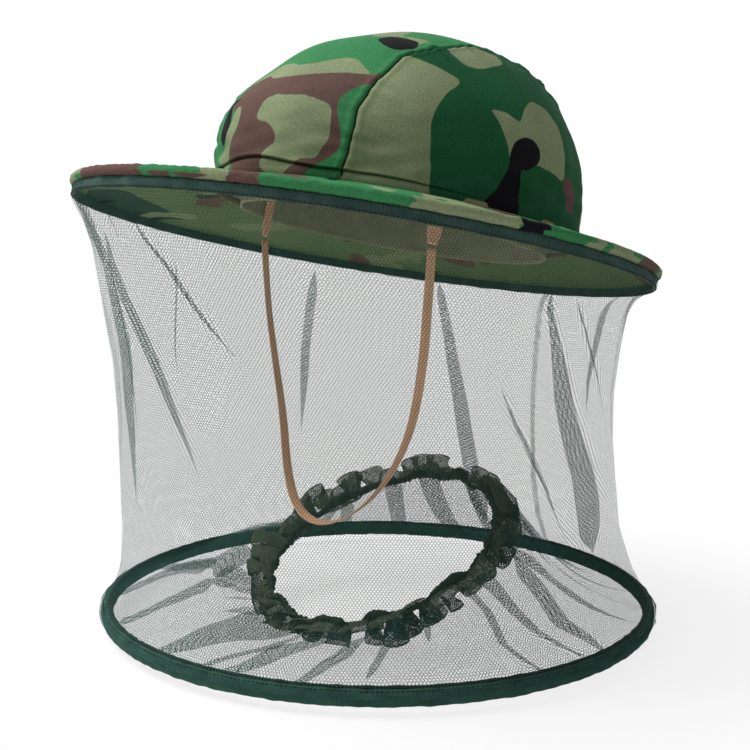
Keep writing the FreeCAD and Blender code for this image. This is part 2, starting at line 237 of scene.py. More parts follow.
def capped(body: np.ndarray) -> np.ndarray:
    """Rings of points with a pole at each end, for a closed bar."""
    ends = [end.mean(axis=1, keepdims=True).repeat(body.shape[1], 1) for end in (body[:1], body[-1:])]
    return np.concatenate([ends[0], body, ends[1]])


def link(name: str, data: bpy.types.ID) -> bpy.types.Object:
    """Puts a new object into the scene, at the origin.

    Args:
        name: Its name.
        data: Its mesh, curve, lamp or camera.

    Returns:
        The object.
    """
    thing = bpy.data.objects.new(name, data)
    bpy.context.scene.collection.objects.link(thing)
    return thing


def remesh(piece: bpy.types.Object, weld: bool) -> None:
    """Merges the points that meet at a pole, or makes every face of a closed shell look outwards.

    Args:
        piece: The piece.
        weld: Whether to merge; if not, its faces are turned.
    """
    work = bmesh.new()
    work.from_mesh(piece.data)
    if weld:
        bmesh.ops.remove_doubles(work, verts=work.verts, dist=MM * MM)
    else:
        bmesh.ops.recalc_face_normals(work, faces=work.faces)
    work.to_mesh(piece.data)
    work.free()


def sew(
    name: str,
    points: np.ndarray,
    closed: bool = False,
    tube: bool = False,
    chart: np.ndarray | None = None,
    marks: dict[str, np.ndarray] | None = None,
    outward: tuple[float, float, float] | None = None,
) -> bpy.types.Object:
    """Makes a mesh object from rows of points.

    Args:
        name: Name of the piece.
        points: Rows by columns by 3, in millimetres.
        closed: Whether the last column joins the first.
        tube: Whether the last row joins the first; its faces then look out of the tube.
        chart: Flat place of each point in millimetres, with one more row or column where it closes.
        marks: Extra values of each point, by name.
        outward: A point inside the piece, from which its faces look away.

    Returns:
        The new object, at the origin.
    """
    rows, columns = points.shape[:2]
    face_rows = rows if tube else rows - 1
    face_columns = columns if closed else columns - 1
    r, c = np.meshgrid(np.arange(face_rows), np.arange(face_columns), indexing="ij")
    corners = [(r, c), (r, c + 1), (r + 1, c + 1), (r + 1, c)]
    faces = np.stack([(i % rows) * columns + j % columns for i, j in corners], -1).reshape(-1, 4)
    flat = points.reshape(-1, 3)
    if outward is not None:
        a, b, d = (flat[faces[:, k]] for k in (0, 1, 3))
        away = np.einsum("ij,ij->i", np.cross(b - a, d - a), a - np.array(outward))
        if away.sum() < 0:
            faces = faces[:, ::-1]
            corners = corners[::-1]
    mesh = bpy.data.meshes.new(name)
    mesh.from_pydata((flat * MM).tolist(), [], faces.tolist())
    if chart is not None:
        places = np.stack([chart[i, j] for i, j in corners], 2).reshape(-1, 2)
        layer = mesh.uv_layers.new(name="ClothMap")
        layer.data.foreach_set("uv", (places * MM).astype(np.float32).ravel())
    for mark, values in (marks or {}).items():
        attribute = mesh.attributes.new(mark, "FLOAT", "POINT")
        attribute.data.foreach_set("value", values.astype(np.float32).ravel())
    mesh.shade_smooth()
    mesh.update()
    piece = link(name, mesh)
    if tube:
        remesh(piece, weld=False)
    return piece


def join_up(
    piece: bpy.types.Object,
    body: Body,
    slot: str,
    *nodes: str,
    finish: bpy.types.Material | None = None,
    thickness: float = 0.0,
) -> None:
    """Dresses a finished piece, fixes it to its body and hides the parts that it stands for.

    Args:
        piece: The finished piece.
        body: Body that it rides on.
        slot: Material slot of the record; not used.
        nodes: Parts of the frame that the piece stands for.
        finish: Its only material, unless it has one.
        thickness: How thick the cloth is, inwards from its faces.
    """
    if finish:
        dress(piece, finish)
    if thickness:
        thicken(piece, thickness)
    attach(piece, body.value)
    if nodes:
        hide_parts(*nodes)
    LOG.info("%s rides on %s", piece.name, body.value)


def thicken(piece: bpy.types.Object, thickness: float) -> None:
    """Gives a cloth shell its thickness, inwards from its faces, as a modifier.

    Args:
        piece: The shell.
        thickness: In millimetres.
    """
    wall = piece.modifiers.new("Cloth thickness", "SOLIDIFY")
    wall.thickness = thickness * MM
    wall.offset = -1
    wall.use_even_offset = False
    wall.use_quality_normals = True


def dress(piece: bpy.types.Object, material: bpy.types.Material) -> None:
    """Makes a material the only one on a piece."""
    piece.data.materials.clear()
    piece.data.materials.append(material)


def middle_of(node: str) -> np.ndarray:
    """Middle of a part of the frame, in millimetres."""
    low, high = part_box(node)
    return (np.array(low) / MM + np.array(high) / MM) / 2


# ---------------------------------------------------------------- frames
@dataclass(frozen=True)
class Tilt:
    """A place tilted about the X axis, such as the worn hat's or the collar's."""

    middle: tuple[float, float, float]
    degrees: float

    def out(self, points: np.ndarray) -> np.ndarray:
        """Takes points from the tilted place into the part's frame.

        Args:
            points: Any array of points.

        Returns:
            The same points in the part's frame.
        """
        a = math.radians(self.degrees)
        x, y, z = np.moveaxis(points, -1, 0)
        turned = np.stack([x, y * math.cos(a) - z * math.sin(a), y * math.sin(a) + z * math.cos(a)], -1)
        return turned + np.array(self.middle)

    def inner(self, x: float, y: float, z: float) -> tuple[float, ...]:
        """One point of the tilted place, as the inside of a piece."""
        return tuple(self.out(np.array([x, y, z])))


def hat_tilt() -> float:
    """How far the hat is tipped back, in degrees, from the record's head opening."""
    mounts = {mount["name"]: mount for mount in frame["record"]["mounts"]}
    return math.degrees(math.asin(mounts["head_opening"]["axis"][1]))


WORN = Tilt((0, 0, 0), hat_tilt())
BRIM_MIDDLE = np.array([0.0, -23.4, -14.0])
BRIM_RADIUS = 172.0
INSIDE_HAT = (0.0, 0.0, 0.0)


# ---------------------------------------------------------------- camouflage
@dataclass(frozen=True)
class Patch:
    """One inked shape of the print, as a closed outline on the cloth's chart."""

    tone: Tone
    outline: tuple[tuple[float, float], ...]

    def rounded(self, steps: int = 6) -> np.ndarray:
        """The outline as a smooth closed curve.

        Args:
            steps: Points for each corner of the outline.

        Returns:
            Points by 2 on the chart.
        """
        knots = np.array(self.outline, float)
        share = np.linspace(0, 1, steps, endpoint=False)[:, None]
        pieces = []
        for i in range(len(knots)):
            a, b, c, d = (knots[(i + k) % len(knots)] for k in (-1, 0, 1, 2))
            curve = 2 * b + (c - a) * share + (2 * a - 5 * b + 4 * c - d) * share**2
            pieces.append(0.5 * (curve + (3 * b - a - 3 * c + d) * share**3))
        return np.concatenate(pieces)

    def depth(self, places: np.ndarray, reach: float) -> np.ndarray:
        """How far each place is inside the shape; negative outside.

        Args:
            places: Points by 2 on the chart.
            reach: Largest distance that matters outside it.

        Returns:
            One distance for each point, in the chart's unit.
        """
        start = self.rounded()
        end = np.roll(start, -1, axis=0)
        close = np.all((places > start.min(0) - reach) & (places < start.max(0) + reach), axis=1)
        depth = np.full(len(places), -reach)
        places = places[close]
        nearest = np.full(len(places), np.inf)
        inside = np.zeros(len(places), bool)
        for a, b in zip(start, end):
            edge = b - a
            to_place = places - a
            share = np.clip(to_place @ edge / max(edge @ edge, 1e-9), 0, 1)
            nearest = np.minimum(nearest, np.hypot(*(to_place - share[:, None] * edge).T))
            if a[1] != b[1]:
                crosses = (a[1] > places[:, 1]) != (b[1] > places[:, 1])
                inside ^= crosses & (places[:, 0] < a[0] + edge[0] * (places[:, 1] - a[1]) / edge[1])
        depth[close] = np.where(inside, nearest, -nearest)
        return depth


@dataclass(frozen=True)
class Print:
    """A cut of camouflage cloth: placed shapes, and scattered ones where no one looks closely."""

    patches: tuple[Patch, ...] = ()
    unit: float = 1.0
    seed: int = 0
    spread: tuple[float, float, float, float] | None = None
    blobs: int = 0
    blob_size: float = 22.0

    SHARES = ((Tone.SAND, 0.4), (Tone.EARTH, 0.36), (Tone.SHADE, 0.24))
    FARTHEST = 9.0

    def scattered(self) -> list[Patch]:
        """Branching blobs strewn over the spread, the same for one seed.

        Returns:
            The blobs, none where there is no spread.
        """
        if self.spread is None:
            return []
        draw = np.random.default_rng(self.seed)
        left, right, low, high = self.spread
        shapes = []
        for tone, share in self.SHARES:
            for _ in range(round(self.blobs * share)):
                middle = np.array([draw.uniform(left, right), draw.uniform(low, high)])
                heading = draw.uniform(0, TURN)
                size = self.blob_size * (0.6 if tone is Tone.SHADE else 1.0) / self.unit
                for _ in range(draw.integers(2, 5)):
                    shapes.append(Patch(tone, self.blob(draw, middle, heading, size)))
                    heading += draw.uniform(-1.2, 1.2)
                    middle = middle + size * 0.85 * np.array([math.cos(heading), math.sin(heading)])
        return shapes

    @staticmethod
    def blob(
        draw: np.random.Generator, middle: np.ndarray, heading: float, size: float
    ) -> tuple[tuple[float, float], ...]:
        """One rounded blob, longer along its heading.

        Args:
            draw: Source of its unevenness.
            middle: Its middle on the chart.
            heading: Direction that it is long in.
            size: Half its length.

        Returns:
            Its corners.
        """
        corners = []
        for angle in around(8):
            reach = size * draw.uniform(0.55, 1.0)
            along = reach * math.cos(angle)
            across = 0.5 * reach * math.sin(angle)
            x = middle[0] + along * math.cos(heading) - across * math.sin(heading)
            y = middle[1] + along * math.sin(heading) + across * math.cos(heading)
            corners.append((x, y))
        return tuple(corners)

    def marks(self, chart: np.ndarray) -> dict[str, np.ndarray]:
        """Depth inside each tone's shapes, in millimetres, for a mesh's points.

        Args:
            chart: Rows by columns by 2, in the print's unit.

        Returns:
            One array for each tone.
        """
        places = chart.reshape(-1, 2)
        depths = {tone: np.full(len(places), -self.FARTHEST) for tone in Tone}
        for patch in list(self.patches) + self.scattered():
            depth = patch.depth(places, self.FARTHEST / self.unit) * self.unit
            depths[patch.tone] = np.maximum(depths[patch.tone], depth)
        shape, limits = chart.shape[:2], (-self.FARTHEST, self.FARTHEST)
        return {tone.value: np.clip(depth, *limits).reshape(shape) for tone, depth in depths.items()}


# ---------------------------------------------------------------- finishes
def new_material(name: str) -> tuple[bpy.types.Material, bpy.types.NodeTree]:
    """Starts a node material, with nothing in its tree yet.

    Args:
        name: What the finish is.

    Returns:
        The material and its tree.
    """
    material = bpy.data.materials.new(name)
    material.use_nodes = True
    material.node_tree.nodes.clear()
    return material, material.node_tree


def add_surface(tree: bpy.types.NodeTree, inputs: dict) -> None:
    """Ends a material with its surface shader, given the shader's inputs."""
    surface = add_node(tree, "ShaderNodeBsdfPrincipled", inputs)
    add_node(tree, "ShaderNodeOutputMaterial", {"Surface": surface})


def weave_height(tree: bpy.types.NodeTree, pitch: float, cloth: bpy.types.Node) -> bpy.types.Node:
    """Height of a plain weave: threads that cross, one over and one under.

    Args:
        tree: Tree that gets the nodes.
        pitch: Thread spacing in millimetres.
        cloth: Place on the cloth, in metres.

    Returns:
        A height from 0 to 1.
    """
    turns = add_node(tree, VECTOR, {0: cloth, "Scale": math.pi / (pitch * MM)}, operation="SCALE")
    part = add_node(tree, "ShaderNodeSeparateXYZ", {0: turns}).outputs
    warp, weft = (add_node(tree, MATH, {0: part[axis]}, operation="SINE") for axis in (0, 1))
    cross = add_node(tree, MATH, {0: warp, 1: weft}, operation="MULTIPLY")
    return add_node(tree, MATH, {0: cross, 1: 0.5, 2: 0.5}, operation="MULTIPLY_ADD")


@dataclass(frozen=True)
class CamouflageCloth:
    """Printed cotton-polyester cloth, plain woven and soft: matt, with crisp ink edges that feather
    into the threads, a little fading, and painted shade in the weave's hollows, along its seams and under the
    tuck."""

    name: str
    leaf: str = "#36764A"
    # Dark green that the crown's left panel wears as painted shade.
    dark_green_and_shade: str = "#1E5032"
    sand: str = "#7C8767"
    earth: str = "#5B4640"
    speck: str = "#7C8767"
    shade: str = "#141417"
    pitch: float = 0.9          # threads are finer; this is as coarse as it needs to show
    feather: float = 0.45
    wobble: float = 0.9

    def material(self) -> bpy.types.Material:
        """Builds the material.

        Returns:
            The material.
        """
        material, tree = new_material(self.name)
        cloth = add_node(tree, "ShaderNodeUVMap", uv_map=CLOTH_MAP)
        # The ink's edge wanders over 9 mm, the cloth fades over 36 mm and its fibres are 1.6 mm flecks.
        edge = add_node(tree, NOISE, {"Vector": cloth, "Scale": 110.0, "Detail": 3.0})
        shift = add_node(tree, MATH, {0: edge, 1: 2 * self.wobble, 2: -self.wobble}, operation="MULTIPLY_ADD")
        colour = linear(self.leaf)
        for tone in Tone:
            inside = add_node(tree, "ShaderNodeAttribute", attribute_name=tone.value).outputs["Fac"]
            moved = add_node(tree, MATH, {0: inside, 1: shift}, operation="ADD")
            limits = {0: moved, 1: -self.feather, 2: self.feather}
            share = add_node(tree, RANGE, limits, interpolation_type="SMOOTHSTEP")
            inks = {0: share, 6: colour, 7: linear(getattr(self, tone.value))}
            colour = add_node(tree, MIX, inks, data_type="RGBA").outputs[2]
        fade = add_node(tree, NOISE, {"Vector": cloth, "Scale": 28.0, "Detail": 4.0})
        fleck = add_node(tree, NOISE, {"Vector": cloth, "Scale": 620.0, "Detail": 2.0})
        height = weave_height(tree, self.pitch, cloth)
        # The crease mark paints shade along the crown's seams and under the tuck's edge, taking the colour
        # down to 0.16.
        crease = add_node(tree, "ShaderNodeAttribute", attribute_name="crease").outputs["Fac"]
        tint = add_node(tree, RANGE, {0: fade, 1: 0.3, 2: 0.7, 3: 0.9, 4: 1.09})
        # The weave's hollows are darker, which is painted shade; the flecks are the fibres' own tone.
        for shading in (
            {0: height, 3: 0.93, 4: 1.04},
            {0: crease, 3: 1.0, 4: 0.16},
            {0: fleck, 1: 0.3, 2: 0.7, 3: 0.84, 4: 1.14},
        ):
            shade = add_node(tree, RANGE, shading)
            tint = add_node(tree, MATH, {0: tint, 1: shade}, operation="MULTIPLY")
        worn = add_node(tree, VECTOR, {0: colour, "Scale": tint}, operation="SCALE")
        bump = add_node(tree, "ShaderNodeBump", {"Height": height, "Distance": 0.12 * MM, "Strength": 0.6})
        add_surface(tree, {"Base Color": worn, "Roughness": 0.78, "Specular IOR Level": 0.04, "Normal": bump})
        return material


@dataclass(frozen=True)
class PlainCloth:
    """Plain dyed woven cloth or tape: matt, a little uneven in its dye, threads just showing, with painted
    shade in the weave's hollows.
    """

    name: str
    colour: str
    deep: str
    pitch: float = 0.9
    relief: float = 0.14

    def material(self) -> bpy.types.Material:
        """Builds the material.

        Returns:
            The material.
        """
        material, tree = new_material(self.name)
        cloth = add_node(tree, "ShaderNodeUVMap", uv_map=CLOTH_MAP)
        height = weave_height(tree, self.pitch, cloth)
        dye = add_node(tree, NOISE, {"Vector": cloth, "Scale": 90.0, "Detail": 5.0})
        blend = add_node(tree, MATH, {0: dye, 1: 1.1, 2: -0.25}, operation="MULTIPLY_ADD")
        # The deep colour goes to the weave's hollows as painted shade, and to the dye's uneven patches.
        share = add_node(
            tree, MATH, {0: height, 1: 0.35, 2: blend}, operation="MULTIPLY_ADD", use_clamp=True
        )
        dyes = {0: share, 6: linear(self.deep), 7: linear(self.colour)}
        mix = add_node(tree, MIX, dyes, data_type="RGBA").outputs[2]
        depth = self.relief * MM
        bump = add_node(tree, "ShaderNodeBump", {"Height": height, "Distance": depth, "Strength": 0.8})
        look = {"Roughness": 0.85, "Specular IOR Level": 0.12, "Sheen Weight": 0.03, "Sheen Roughness": 0.5}
        add_surface(tree, look | {"Base Color": mix, "Normal": bump})
        return material


@dataclass(frozen=True)
class HexagonNet:
    """Knitted polyester mosquito net: fine six-sided cells of dull green yarn, see-through, and
    darker wherever it lies double or is gathered."""

    name: str
    colour: str
    cell: float = 1.95
    yarn: float = 0.225
    squash: float = 0.64        # row spacing, in cells: small makes the upright sides short

    def material(self) -> bpy.types.Material:
        """Builds the material, with the cells cut out by its alpha.

        Returns:
            The material.
        """
        material, tree = new_material(self.name)
        cloth = add_node(tree, "ShaderNodeUVMap", uv_map=CLOTH_MAP)
        scaled = add_node(tree, VECTOR, {0: cloth, "Scale": 1 / (self.cell * MM)}, operation="SCALE")
        row = self.squash
        slope = math.hypot(0.5, row)
        half = (0.5, row, 0.5)
        far = []
        for offset in ((0.0, 0.0, 0.0), half):
            moved = add_node(tree, VECTOR, {0: scaled, 1: offset}, operation="SUBTRACT")
            tile = {0: moved, 1: (1.0, 2 * row, 1.0), 2: (0, 0, 0)}
            tiled = add_node(tree, VECTOR, tile, operation="WRAP")
            local = add_node(tree, VECTOR, {0: tiled, 1: half}, operation="SUBTRACT")
            plain = add_node(tree, VECTOR, {0: local}, operation="ABSOLUTE")
            side = {0: plain, 1: (0.5 / slope, row / slope, 0.0)}
            slanted = add_node(tree, VECTOR, side, operation="DOT_PRODUCT").outputs["Value"]
            raised = add_node(tree, MATH, {0: slanted, 1: 0.5 - slope / 2}, operation="ADD")
            part = add_node(tree, "ShaderNodeSeparateXYZ", {0: plain})
            far.append(add_node(tree, MATH, {0: raised, 1: part}, operation="MAXIMUM"))
        nearest = add_node(tree, MATH, {0: far[0], 1: far[1]}, operation="MINIMUM")
        edge = 0.5 - self.yarn / self.cell / 2
        thread = add_node(tree, RANGE, {0: nearest, 1: edge - 0.01, 2: edge + 0.01})
        hem = add_node(tree, "ShaderNodeAttribute", attribute_name="hem").outputs["Fac"]
        solid = add_node(tree, MATH, {0: thread, 1: hem}, operation="MAXIMUM")
        dye = add_node(tree, NOISE, {"Vector": cloth, "Scale": 60.0, "Detail": 2.0})
        tone = add_node(tree, RANGE, {0: dye, 1: 0.3, 2: 0.7, 3: 0.85, 4: 1.15})
        tint = add_node(tree, VECTOR, {0: linear(self.colour)[:3], "Scale": tone}, operation="SCALE")
        add_surface(tree, {"Base Color": tint, "Alpha": solid, "Roughness": 0.8, "Specular IOR Level": 0.0})
        return material


@dataclass(frozen=True)
class RibbedElastic:
    """Flat braided elastic, rubber strands in polyester yarn: lengthwise ribs with fine cross
    ridges, a soft satin gleam, painted shade in its hollows and uneven stains."""

    name: str
    colour: str
    deep: str
    ribs: float = 0.8
    ridges: float = 1.0

    def material(self) -> bpy.types.Material:
        """Builds the material.

        Returns:
            The material.
        """
        material, tree = new_material(self.name)
        cloth = add_node(tree, "ShaderNodeUVMap", uv_map=CLOTH_MAP)
        turns = (TURN / (self.ridges * MM), TURN / (self.ribs * MM), 0)
        stretched = add_node(tree, VECTOR, {0: cloth, 1: turns}, operation="MULTIPLY")
        part = add_node(tree, "ShaderNodeSeparateXYZ", {0: stretched}).outputs
        ridge, rib = (add_node(tree, MATH, {0: part[axis]}, operation="SINE") for axis in (0, 1))
        both = add_node(tree, MATH, {0: ridge, 1: 0.4, 2: rib}, operation="MULTIPLY_ADD")
        height = add_node(tree, MATH, {0: both, 1: 0.3, 2: 0.5}, operation="MULTIPLY_ADD")
        stain = add_node(tree, NOISE, {"Vector": cloth, "Scale": 70.0, "Detail": 4.0})
        # The deep colour paints shade into the hollows between ribs and ridges, and the stain noise adds
        # uneven stains.
        share = add_node(tree, MATH, {0: height, 1: stain}, operation="ADD")
        half = add_node(tree, MATH, {0: share, 1: 0.6, 2: 0.05}, operation="MULTIPLY_ADD", use_clamp=True)
        yarns = {0: half, 6: linear(self.deep), 7: linear(self.colour)}
        mix = add_node(tree, MIX, yarns, data_type="RGBA").outputs[2]
        bump = add_node(tree, "ShaderNodeBump", {"Height": height, "Distance": 0.08 * MM, "Strength": 0.7})
        look = {"Roughness": 0.6, "Sheen Weight": 0.1, "Specular IOR Level": 0.2}
        add_surface(tree, look | {"Base Color": mix, "Normal": bump})
        return material


@dataclass(frozen=True)
class DrawnSteel:
    """Drawn and rolled steel: grey metal with fine lines in it and a satin gleam."""

    name: str
    colour: str
    roughness: float = 0.35

    def material(self) -> bpy.types.Material:
        """Builds the material.

        Returns:
            The material.
        """
        material, tree = new_material(self.name)
        place = add_node(tree, "ShaderNodeTexCoord").outputs["Object"]
        lines = add_node(tree, NOISE, {"Vector": place, "Scale": 900.0, "Detail": 2.0})
        rough = add_node(tree, RANGE, {0: lines, 3: self.roughness - 0.08, 4: self.roughness + 0.15})
        shade = add_node(tree, RANGE, {0: lines, 3: 0.85, 4: 1.1})
        tint = add_node(tree, VECTOR, {0: linear(self.colour)[:3], "Scale": shade}, operation="SCALE")
        add_surface(tree, {"Base Color": tint, "Roughness": rough, "Metallic": 1.0})
        return material


@dataclass(frozen=True)
class Finishes:
    """Every finish of the object, made once."""

    camouflage: bpy.types.Material
    underside: bpy.types.Material
    lining: bpy.types.Material
    sweatband: bpy.types.Material
    binding: bpy.types.Material
    hoop_tape: bpy.types.Material
    casing: bpy.types.Material
    ruche: bpy.types.Material
    net: bpy.types.Material
    strap: bpy.types.Material
    thread: bpy.types.Material
    dark_thread: bpy.types.Material
    steel: bpy.types.Material

    @classmethod
    def made(cls) -> "Finishes":
        """Builds all the materials.

        Returns:
            The set of finishes.
        """
        return cls(
            camouflage=CamouflageCloth("Camouflage poplin, printed").material(),
            underside=CamouflageCloth(
                "Camouflage poplin, brim underside",
                leaf="#62764B",
                dark_green_and_shade="#2B3F31",
                sand="#7C8A60",
                earth="#6A4E3C",
                speck="#7C8A60",
            ).material(),
            lining=PlainCloth("Cotton lining, khaki", "#8C8664", "#6F6A4C").material(),
            sweatband=PlainCloth("Cotton sweatband, khaki", "#A8A585", "#8A8767", pitch=1.2).material(),
            binding=PlainCloth("Bias binding, dark green", "#3F5650", "#20322E").material(),
            hoop_tape=PlainCloth("Bias binding, bottle green", "#365E50", "#1C3A30").material(),
            casing=PlainCloth("Gathered net casing, dark green", "#4C5648", "#1E2A22", relief=0.4).material(),
            ruche=HexagonNet("Gathered net, dark green", "#565E4E", cell=1.3, yarn=0.62).material(),
            net=HexagonNet("Mosquito net, dark green", "#35524C").material(),
            strap=RibbedElastic("Braided elastic, beige", "#FFCBA4", "#D39C74").material(),
            thread=PlainCloth("Sewing thread, olive", "#5F6F4B", "#4A583A", pitch=0.4).material(),
            dark_thread=PlainCloth("Sewing thread, dark green", "#22302A", "#18231E", pitch=0.4).material(),
            steel=DrawnSteel("Spring steel, drawn", "#A6A8AB").material(),
        )


# ---------------------------------------------------------------- stitching
@dataclass
class StitchRow:
    """A row of lockstitches laid along a line by Geometry Nodes."""

    name: str
    line: np.ndarray
    pitch: float = 3.2
    length: float = 2.2
    width: float = 0.55

    def line_mesh(self) -> bpy.types.Object:
        """The closed sewing line as a mesh of edges.

        Returns:
            The line as an object.
        """
        count = len(self.line)
        mesh = bpy.data.meshes.new(self.name)
        mesh.from_pydata((self.line * MM).tolist(), [(i, (i + 1) % count) for i in range(count)], [])
        return link(self.name, mesh)

    def tree(self, material: bpy.types.Material) -> bpy.types.NodeTree:
        """Nodes that lay one small rounded stitch at every pitch of the line.

        Args:
            material: The thread.

        Returns:
            The tree, with the stitch's sizes as its inputs.
        """
        tree = bpy.data.node_groups.new("Stitch row", "GeometryNodeTree")
        tree.interface.new_socket("Line", in_out="INPUT", socket_type="NodeSocketGeometry")
        for label, size in (("Pitch", self.pitch), ("Length", self.length), ("Width", self.width)):
            socket = tree.interface.new_socket(label, in_out="INPUT", socket_type="NodeSocketFloat")
            socket.default_value = size * MM
        tree.interface.new_socket("Stitches", in_out="OUTPUT", socket_type="NodeSocketGeometry")
        given = add_node(tree, "NodeGroupInput").outputs
        curve = add_node(tree, "GeometryNodeMeshToCurve", {0: given["Line"]})
        spacing = {"Curve": curve, "Length": given["Pitch"]}
        spaced = add_node(tree, "GeometryNodeResampleCurve", spacing, mode="LENGTH")
        tangent = add_node(tree, "GeometryNodeInputTangent")
        turn = add_node(tree, "FunctionNodeAlignRotationToVector", {"Vector": tangent}, axis="X")
        ball = add_node(tree, "GeometryNodeMeshIcoSphere", {"Radius": 0.5, "Subdivisions": 1})
        size = add_node(
            tree, "ShaderNodeCombineXYZ", {0: given["Length"], 1: given["Width"], 2: given["Width"]}
        )
        stitch = {"Points": spaced, "Instance": ball, "Rotation": turn, "Scale": size}
        laid = add_node(tree, "GeometryNodeInstanceOnPoints", stitch)
        real = add_node(tree, "GeometryNodeRealizeInstances", {0: laid})
        thread = add_node(tree, "GeometryNodeSetMaterial", {0: real, "Material": material})
        add_node(tree, "NodeGroupOutput", {0: thread})
        return tree

    def sewn(self, material: bpy.types.Material) -> bpy.types.Object:
        """Lays the stitches and returns them as a plain mesh.

        Args:
            material: The thread.

        Returns:
            One object holding every stitch of the row.
        """
        guide = self.line_mesh()
        modifier = guide.modifiers.new("Stitch row", "NODES")
        modifier.node_group = self.tree(material)
        graph = bpy.context.evaluated_depsgraph_get()
        mesh = bpy.data.meshes.new_from_object(guide.evaluated_get(graph))
        bpy.data.objects.remove(guide)
        co = np.zeros(len(mesh.vertices) * 3, np.float32)
        mesh.vertices.foreach_get("co", co)
        loops = np.zeros(len(mesh.loops), np.int32)
        mesh.loops.foreach_get("vertex_index", loops)
        layer = mesh.uv_layers.get(CLOTH_MAP) or mesh.uv_layers.new(name=CLOTH_MAP)
        layer.data.foreach_set("uv", np.ascontiguousarray(co.reshape(-1, 3)[loops][:, :2]).ravel())
        mesh.name = self.name
        mesh.shade_smooth()
        return link(self.name, mesh)


# ---------------------------------------------------------------- crown
CHART_UNIT = 1.726   # millimetres for one unit of the dome's chart
CROWN_PATCHES = (
    Patch(
        Tone.SAND,
        ((3, -28), (14, -22), (20, -30), (29, -26), (31, -33), (24, -31), (19, -33), (12, -36)),
    ),
    Patch(
        Tone.SAND,
        ((-14, -58), (3, -62), (11, -61), (16, -58), (20, -55), (25, -53), (31, -54), (36, -55),
         (30, -60), (20, -66), (11, -69), (-3, -70), (-22, -66)),
    ),
    Patch(
        Tone.EARTH,
        ((-24, -68), (-13, -65), (-3, -69), (11, -68), (20, -65), (29, -60), (37, -55), (39, -52),
         (41, -57), (39, -60), (37, -64), (37, -68), (40, -72), (44, -75), (48, -78), (46, -85),
         (40, -92), (34, -104), (0, -106), (-15, -98), (-16, -91), (-12, -87), (-11, -83), (-14, -80),
         (-22, -78)),
    ),
    Patch(
        Tone.SPECK,
        ((3, -80), (8, -77), (15, -76), (23, -74), (29, -73), (36, -72), (39, -75), (42, -79), (42, -83),
         (41, -87), (34, -91), (24, -100), (12, -99), (14, -94), (18, -91), (17, -88), (11, -86),
         (3, -85)),
    ),
    Patch(Tone.SHADE, ((-20, -74), (-24, -76), (-22, -82), (-24, -87), (-31, -86), (-34, -78), (-28, -72))),
    Patch(
        Tone.SPECK,
        ((-19, -79), (-13, -80), (-11, -84), (-14, -88), (-17, -92), (-19, -99), (-35, -90), (-25, -88)),
    ),
    Patch(Tone.SHADE, ((18, -39), (19, -34), (24, -32), (30, -31), (34, -37), (28, -41))),
)
LEFT_PATCHES = (
    # Painted shade: dark green over most of the left panel, the side that faces away from the key light.
    Patch(Tone.DARK_GREEN_AND_SHADE, ((5, -70), (60, -120), (130, -120), (140, 60), (60, 80), (10, 40), (14, -20))),
    Patch(
        Tone.SAND,
        ((30, -46), (36, -40), (45, -34), (53, -28), (56, -31), (59, -38), (63, -44), (67, -47),
         (75, -50), (84, -53), (96, -60), (70, -95), (50, -100), (40, -72), (36, -57)),
    ),
    Patch(Tone.SAND, ((35, -22), (35, -12), (38, -4), (44, -4), (48, -13), (47, -19), (43, -22))),
    Patch(
        Tone.SAND,
        ((67, -20), (68, -15), (71, -11), (71, -9), (67, -6), (63, -2), (61, 3), (61, 10), (65, 16),
         (70, 18), (77, 19), (84, 19), (85, 9), (85, -1), (84, -9), (84, -15), (77, -17), (72, -18)),
    ),
    Patch(
        Tone.SHADE,
        ((78, -12), (77, -6), (80, -1), (84, -1), (87, -6), (88, -10), (94, -9), (103, -9), (103, -26),
         (97, -27), (92, -20), (86, -16), (81, -15)),
    ),
    Patch(Tone.EARTH, ((84, 20), (79, 28), (80, 38), (86, 40), (88, 28))),
)


